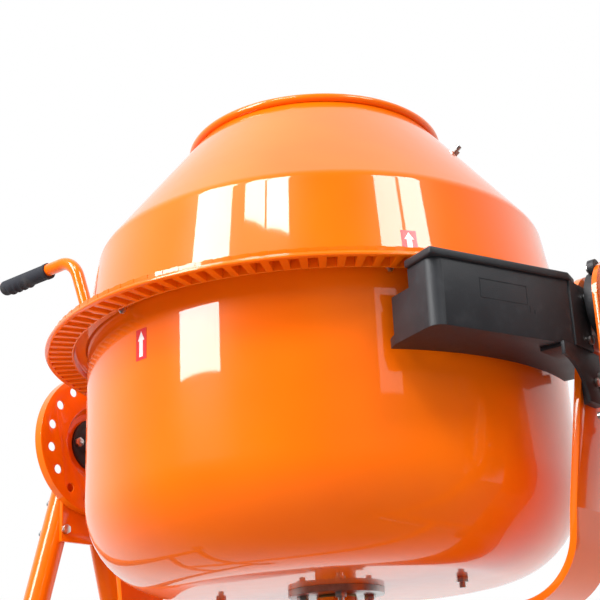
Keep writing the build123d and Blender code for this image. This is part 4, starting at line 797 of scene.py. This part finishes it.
# ---- Locking lever -----------------------------------------------------------------------
class MIXER_OT_lever(bpy.types.Operator):
    """Locking lever with its ribbed grip, pin, bracket and pivot"""

    bl_idname = "mixer.lever"
    bl_label = "Locking lever"

    def execute(self, context):
        softened("lever_tube", 0.0006)
        softened("lever_bracket", 0.0008)
        softened("lever_pivot_pin", 0.0005)
        softened("locking_pin", 0.0005)
        self.grip()
        return {"FINISHED"}

    def grip(self):
        """Rubber sleeve with four finger ridges underneath and a rounded closed end."""
        low, high = corners("lever_grip")
        centre = (low + high) / 2
        lean = radians(10.5)
        radius = 12.5 * MM
        length = high.x - low.x
        ridges = 4
        pitch = 14.5 * MM
        first = 24.0 * MM
        bm = bmesh.new()
        rings = []
        steps, sides = 90, 40
        for k in range(steps + 1):
            s = length * k / steps
            end = min(1.0, sqrt(max(0.0, 1 - (1 - min(s, 9.0 * MM) / (9.0 * MM)) ** 2)))
            collar = 1.06 if s > length - 7.0 * MM else 1.0
            swell = 0.0
            for n in range(ridges):
                d = (s - first - n * pitch) / (3.6 * MM)
                if -1 < d < 1:
                    swell = max(swell, 2.6 * MM * (1 - d * d))
            ring = []
            for m in range(sides):
                angle = 2 * pi * m / sides
                under = max(0.0, -sin(angle)) ** 1.5
                r = radius * end * collar + swell * under
                ring.append(bm.verts.new((low.x + s, r * cos(angle), r * sin(angle))))
            rings.append(ring)
        for near, far in zip(rings, rings[1:]):
            for m in range(sides):
                n = (m + 1) % sides
                bm.faces.new((near[m], near[n], far[n], far[m]))
        bm.faces.new(rings[-1])
        bmesh.ops.remove_doubles(bm, verts=bm.verts, dist=1e-6)
        turn = Matrix.Translation((0, centre.y, centre.z)) @ Matrix.Rotation(lean, 4, "X")
        bmesh.ops.transform(bm, matrix=turn, verts=bm.verts)
        grip = from_bmesh("lever_grip_ribbed", bm, "grip_rubber", 50.0)
        settle(grip, "lever", "grip_rubber", "lever_grip")


class MIXER_OT_locking_disc(bpy.types.Operator):
    """Dished disc with sixteen holes, its flanged bush and bolts"""

    bl_idname = "mixer.locking_disc"
    bl_label = "Locking disc"

    def execute(self, context):
        softened("locking_disc", 0.0008, limit=50.0)
        softened("left_bush", 0.0008)
        softened("bush_bolts", 0.0005)
        return {"FINISHED"}


# ---- Drive -------------------------------------------------------------------------------
class MIXER_OT_drive(bpy.types.Operator):
    """Pinion, shafts, pulleys, belt, motor and fan"""

    bl_idname = "mixer.drive"
    bl_label = "Drive"

    def execute(self, context):
        softened("pinion", 0.0008)
        for node in ("pinion_shaft", "shaft_retainers", "motor_rotor"):
            softened(node, 0.0004)
        for node in ("drive_pulley", "motor_pulley", "cooling_fan", "motor_body"):
            softened(node, 0.0008)
        softened("drive_belt", 0.0005)
        return {"FINISHED"}


class MIXER_OT_motor_box(bpy.types.Operator):
    """Motor cover with its back plate, screws, switch, buttons and power inlet"""

    bl_idname = "mixer.motor_box"
    bl_label = "Motor box"

    def execute(self, context):
        softened("motor_cover", 0.0018, segments=3)
        softened("motor_base", 0.0006)
        softened("cover_screws", 0.0004)
        softened("switch_body", 0.0012, segments=3)
        softened("start_button", 0.0006)
        softened("stop_button", 0.0006)
        softened("power_inlet", 0.0008)
        return {"FINISHED"}


# ---- Stand -------------------------------------------------------------------------------
class MIXER_OT_stand(bpy.types.Operator):
    """Head plates, legs, braces, foot bar, feet, axle and bolts"""

    bl_idname = "mixer.stand"
    bl_label = "Stand"

    def execute(self, context):
        softened("stand_heads", 0.0012)
        softened("stand_legs", 0.0006)
        softened("stand_tubes", 0.0006)
        softened("foot_bar", 0.0006)
        softened("rubber_feet", 0.0020, segments=3)
        softened("right_bush", 0.0014, segments=3)
        softened("stand_bolts", 0.0005)
        softened("axle", 0.0008)
        softened("axle_fittings", 0.0010)
        return {"FINISHED"}


class MIXER_OT_wheels(bpy.types.Operator):
    """Two moulded wheels with solid tyres and a lugged tread"""

    bl_idname = "mixer.wheels"
    bl_label = "Wheels"

    def execute(self, context):
        for end in ("front", "rear"):
            low, high = corners(f"tyre_{end}")
            centre = (low + high) / 2
            radius = (high.z - low.z) / 2
            half = (high.y - low.y) / 2
            self.tyre(end, centre, radius, half, context.scene.mixer_sizes.tread_lugs)
            softened(f"wheel_rim_{end}", 0.0010)
        return {"FINISHED"}

    def tyre(self, end, centre, radius, half, lugs):
        base = radius - 2.6 * MM
        bead = radius - 32.0 * MM
        section = rounded_section([
            (bead, centre.y - half + 3 * MM), (radius - 12 * MM, centre.y - half),
            (base - 3 * MM, centre.y - half + 7 * MM), (base, centre.y - half + 14 * MM),
            (base, centre.y + half - 14 * MM), (base - 3 * MM, centre.y + half - 7 * MM),
            (radius - 12 * MM, centre.y + half), (bead, centre.y + half - 3 * MM),
        ], {1: 6 * MM, 2: 4 * MM, 5: 4 * MM, 6: 6 * MM})
        body = lathe(f"tyre_body_{end}", section, "tyre_rubber", 96, centre, "Y")
        pieces = [body]
        for side in (-1, 1):
            lug = self.lug(f"lug_{end}_{side}", side, radius, half)
            turn = (radians(90.0), 0.0, 0.0)
            first = pi / lugs if side > 0 else 0.0
            pieces.append(repeat_around(lug, "tyre_rubber", lugs, centre, first, turn))
        settle(joined(f"tyre_{end}_treaded", pieces), f"{end}_wheel", "tyre_rubber", f"tyre_{end}")

    def lug(self, name, side, radius, half):
        """Slanted tread block on the +X side, whose width runs along Z before it is turned."""
        bm = bmesh.new()
        inner, outer = radius - 5.0 * MM, radius
        slant = 3.0 * MM
        width = 2.9 * MM
        for s, top in ((1.0 * MM, outer), (half - 8.0 * MM, outer - 1.2 * MM)):
            shift = slant * s / half
            for r, w in ((inner, width + 0.6 * MM), (top, width)):
                bm.verts.new((r, shift - w, side * s))
                bm.verts.new((r, shift + w, side * s))
        bm.verts.ensure_lookup_table()
        v = bm.verts
        for quad in ((0, 1, 3, 2), (4, 5, 7, 6), (0, 1, 5, 4), (2, 3, 7, 6), (0, 2, 6, 4), (1, 3, 7, 5)):
            bm.faces.new([v[n] for n in quad])
        return from_bmesh(name, bm, "tyre_rubber", 30.0)


# ---- Stage -------------------------------------------------------------------------------
CAMERA_PLACE = Vector((DRUM.x + 946 * MM, -1219 * MM, RING_LOW - 480 * MM))
LENS = 73.0
SENSOR = 36.0
YAW, PITCH, ROLL = radians(38.9), radians(20.1), radians(-2.5)
BACK_AZIMUTH = radians(127.8)                  # away from the camera
FRONT_LIGHT, BACK_LIGHT = 0.07, 1.0


def window(name, azimuth, low, high, wide, radiance, distance=3.0):
    """Upright rectangular light around the drum; low and high are heights over the ring gear."""
    light = bpy.data.lights.new(name, "AREA")
    light.shape = "RECTANGLE"
    light.size = wide
    light.size_y = high - low
    light.energy = radiance * pi * wide * (high - low)
    lamp = bpy.data.objects.new(name, light)
    bpy.context.scene.collection.objects.link(lamp)
    away = Vector((cos(radians(azimuth)), sin(radians(azimuth)), 0.0))
    lamp.location = Vector((DRUM.x, DRUM.y, RING_LOW + (low + high) / 2)) + away * distance
    lamp.rotation_euler = away.to_track_quat("Z", "Y").to_euler()
    lamp.visible_camera = False
    return lamp


FLOOR_GREY = 0.55
FLOOR_R = 14.0


class MIXER_OT_stage(bpy.types.Operator):
    """Pale floor, bright surround, soft lights and the camera"""

    bl_idname = "mixer.stage"
    bl_label = "Stage"

    def execute(self, context):
        self.floor()
        self.surround()
        window("window_left", -107.0, 0.58, 3.6, 1.05, 19.0)
        window("window_middle_a", -84.5, 2.6, 3.9, 0.56, 22.0)
        window("window_middle_b", -72.4, 2.6, 3.9, 0.60, 24.0)
        window("window_right_a", -15.5, 1.85, 3.3, 0.62, 15.0)
        window("window_right_b", -2.0, 1.85, 3.3, 0.62, 16.0)
        window("panel_low", -25.0, 0.45, 1.1, 0.5, 1.4)
        fill = window("fill_front", -38.0, -0.2, 1.6, 1.6, 2.2)
        fill.visible_glossy = False
        self.camera()
        context.scene.view_settings.view_transform = "Standard"
        return {"FINISHED"}

    def floor(self):
        bm = bmesh.new()
        bmesh.ops.create_circle(bm, cap_ends=True, segments=96, radius=FLOOR_R)
        mesh = bpy.data.meshes.new("pale_floor")
        bm.to_mesh(mesh)
        bm.free()
        finish = Finish("floor_paper")
        material = finish.set(Base_Color=(FLOOR_GREY,) * 3, Roughness=0.7 + 0.1 * finish.noise(3.0))
        mesh.materials.append(material)
        floor = bpy.data.objects.new("pale_floor", mesh)
        bpy.context.scene.collection.objects.link(floor)
        floor.visible_glossy = False

    def surround(self):
        world = bpy.data.worlds.new("bright_surround")
        bpy.context.scene.world = world
        world.use_nodes = True
        tree = world.node_tree
        back = tree.nodes["Background"]
        back.inputs["Color"].default_value = (1.0, 1.0, 1.0, 1.0)
        place = tree.nodes.new("ShaderNodeTexCoord")
        toward = tree.nodes.new("ShaderNodeVectorMath")
        toward.operation = "DOT_PRODUCT"
        toward.inputs[1].default_value = (cos(BACK_AZIMUTH), sin(BACK_AZIMUTH), 0.35)
        share = tree.nodes.new("ShaderNodeMapRange")
        share.inputs["From Min"].default_value = -0.35
        share.inputs["From Max"].default_value = 0.75
        share.inputs["To Min"].default_value = FRONT_LIGHT
        share.inputs["To Max"].default_value = BACK_LIGHT
        share.interpolation_type = "SMOOTHSTEP"
        tree.links.new(place.outputs["Generated"], toward.inputs[0])
        tree.links.new(toward.outputs["Value"], share.inputs["Value"])
        tree.links.new(share.outputs["Result"], back.inputs["Strength"])
        seen = tree.nodes.new("ShaderNodeBackground")
        seen.inputs["Color"].default_value = (1.0, 1.0, 1.0, 1.0)
        seen.inputs["Strength"].default_value = 1.0
        rays = tree.nodes.new("ShaderNodeLightPath")
        mix = tree.nodes.new("ShaderNodeMixShader")
        tree.links.new(rays.outputs["Is Camera Ray"], mix.inputs[0])
        tree.links.new(back.outputs[0], mix.inputs[1])
        tree.links.new(seen.outputs[0], mix.inputs[2])
        tree.links.new(mix.outputs[0], tree.nodes["World Output"].inputs["Surface"])

    def camera(self):
        data = bpy.data.cameras.new("camera")
        data.lens = LENS
        data.sensor_width = SENSOR
        data.clip_end = 60.0
        camera = bpy.data.objects.new("camera", data)
        bpy.context.scene.collection.objects.link(camera)
        camera.location = CAMERA_PLACE
        camera.matrix_world = (Matrix.Translation(CAMERA_PLACE) @ Matrix.Rotation(YAW, 4, "Z")
                               @ Matrix.Rotation(pi / 2 + PITCH, 4, "X") @ Matrix.Rotation(ROLL, 4, "Z"))
        bpy.context.scene.camera = camera


STEPS = (
    MIXER_OT_stage, MIXER_OT_drum, MIXER_OT_ring_gear, MIXER_OT_drum_fasteners, MIXER_OT_labels,
    MIXER_OT_guard, MIXER_OT_yoke, MIXER_OT_lever, MIXER_OT_locking_disc, MIXER_OT_drive,
    MIXER_OT_motor_box, MIXER_OT_stand, MIXER_OT_wheels,
)


class MIXER_PT_panel(bpy.types.Panel):
    """Settings and the steps that build the mixer"""

    bl_idname = "MIXER_PT_panel"
    bl_label = "Concrete mixer"
    bl_space_type = "VIEW_3D"
    bl_region_type = "UI"
    bl_category = "Mixer"

    def draw(self, context):
        scene = context.scene
        for settings in (scene.mixer_paint, scene.mixer_sizes):
            box = self.layout.box()
            for key in settings.__annotations__:
                box.prop(settings, key)
        column = self.layout.column()
        for step in STEPS:
            column.operator(step.bl_idname)


CLASSES = (MixerPaint, MixerSizes, *STEPS, MIXER_PT_panel)


def register():
    for item in CLASSES:
        bpy.utils.register_class(item)
    bpy.types.Scene.mixer_paint = bpy.props.PointerProperty(type=MixerPaint)
    bpy.types.Scene.mixer_sizes = bpy.props.PointerProperty(type=MixerSizes)


def unregister():
    del bpy.types.Scene.mixer_paint
    del bpy.types.Scene.mixer_sizes
    for item in reversed(CLASSES):
        bpy.utils.unregister_class(item)


def main():
    register()
    FINISH.update(make_finishes(bpy.context.scene.mixer_paint))
    for step in STEPS:
        group, call = step.bl_idname.split(".")
        getattr(getattr(bpy.ops, group), call)()


if __name__ == "__main__":
    main()
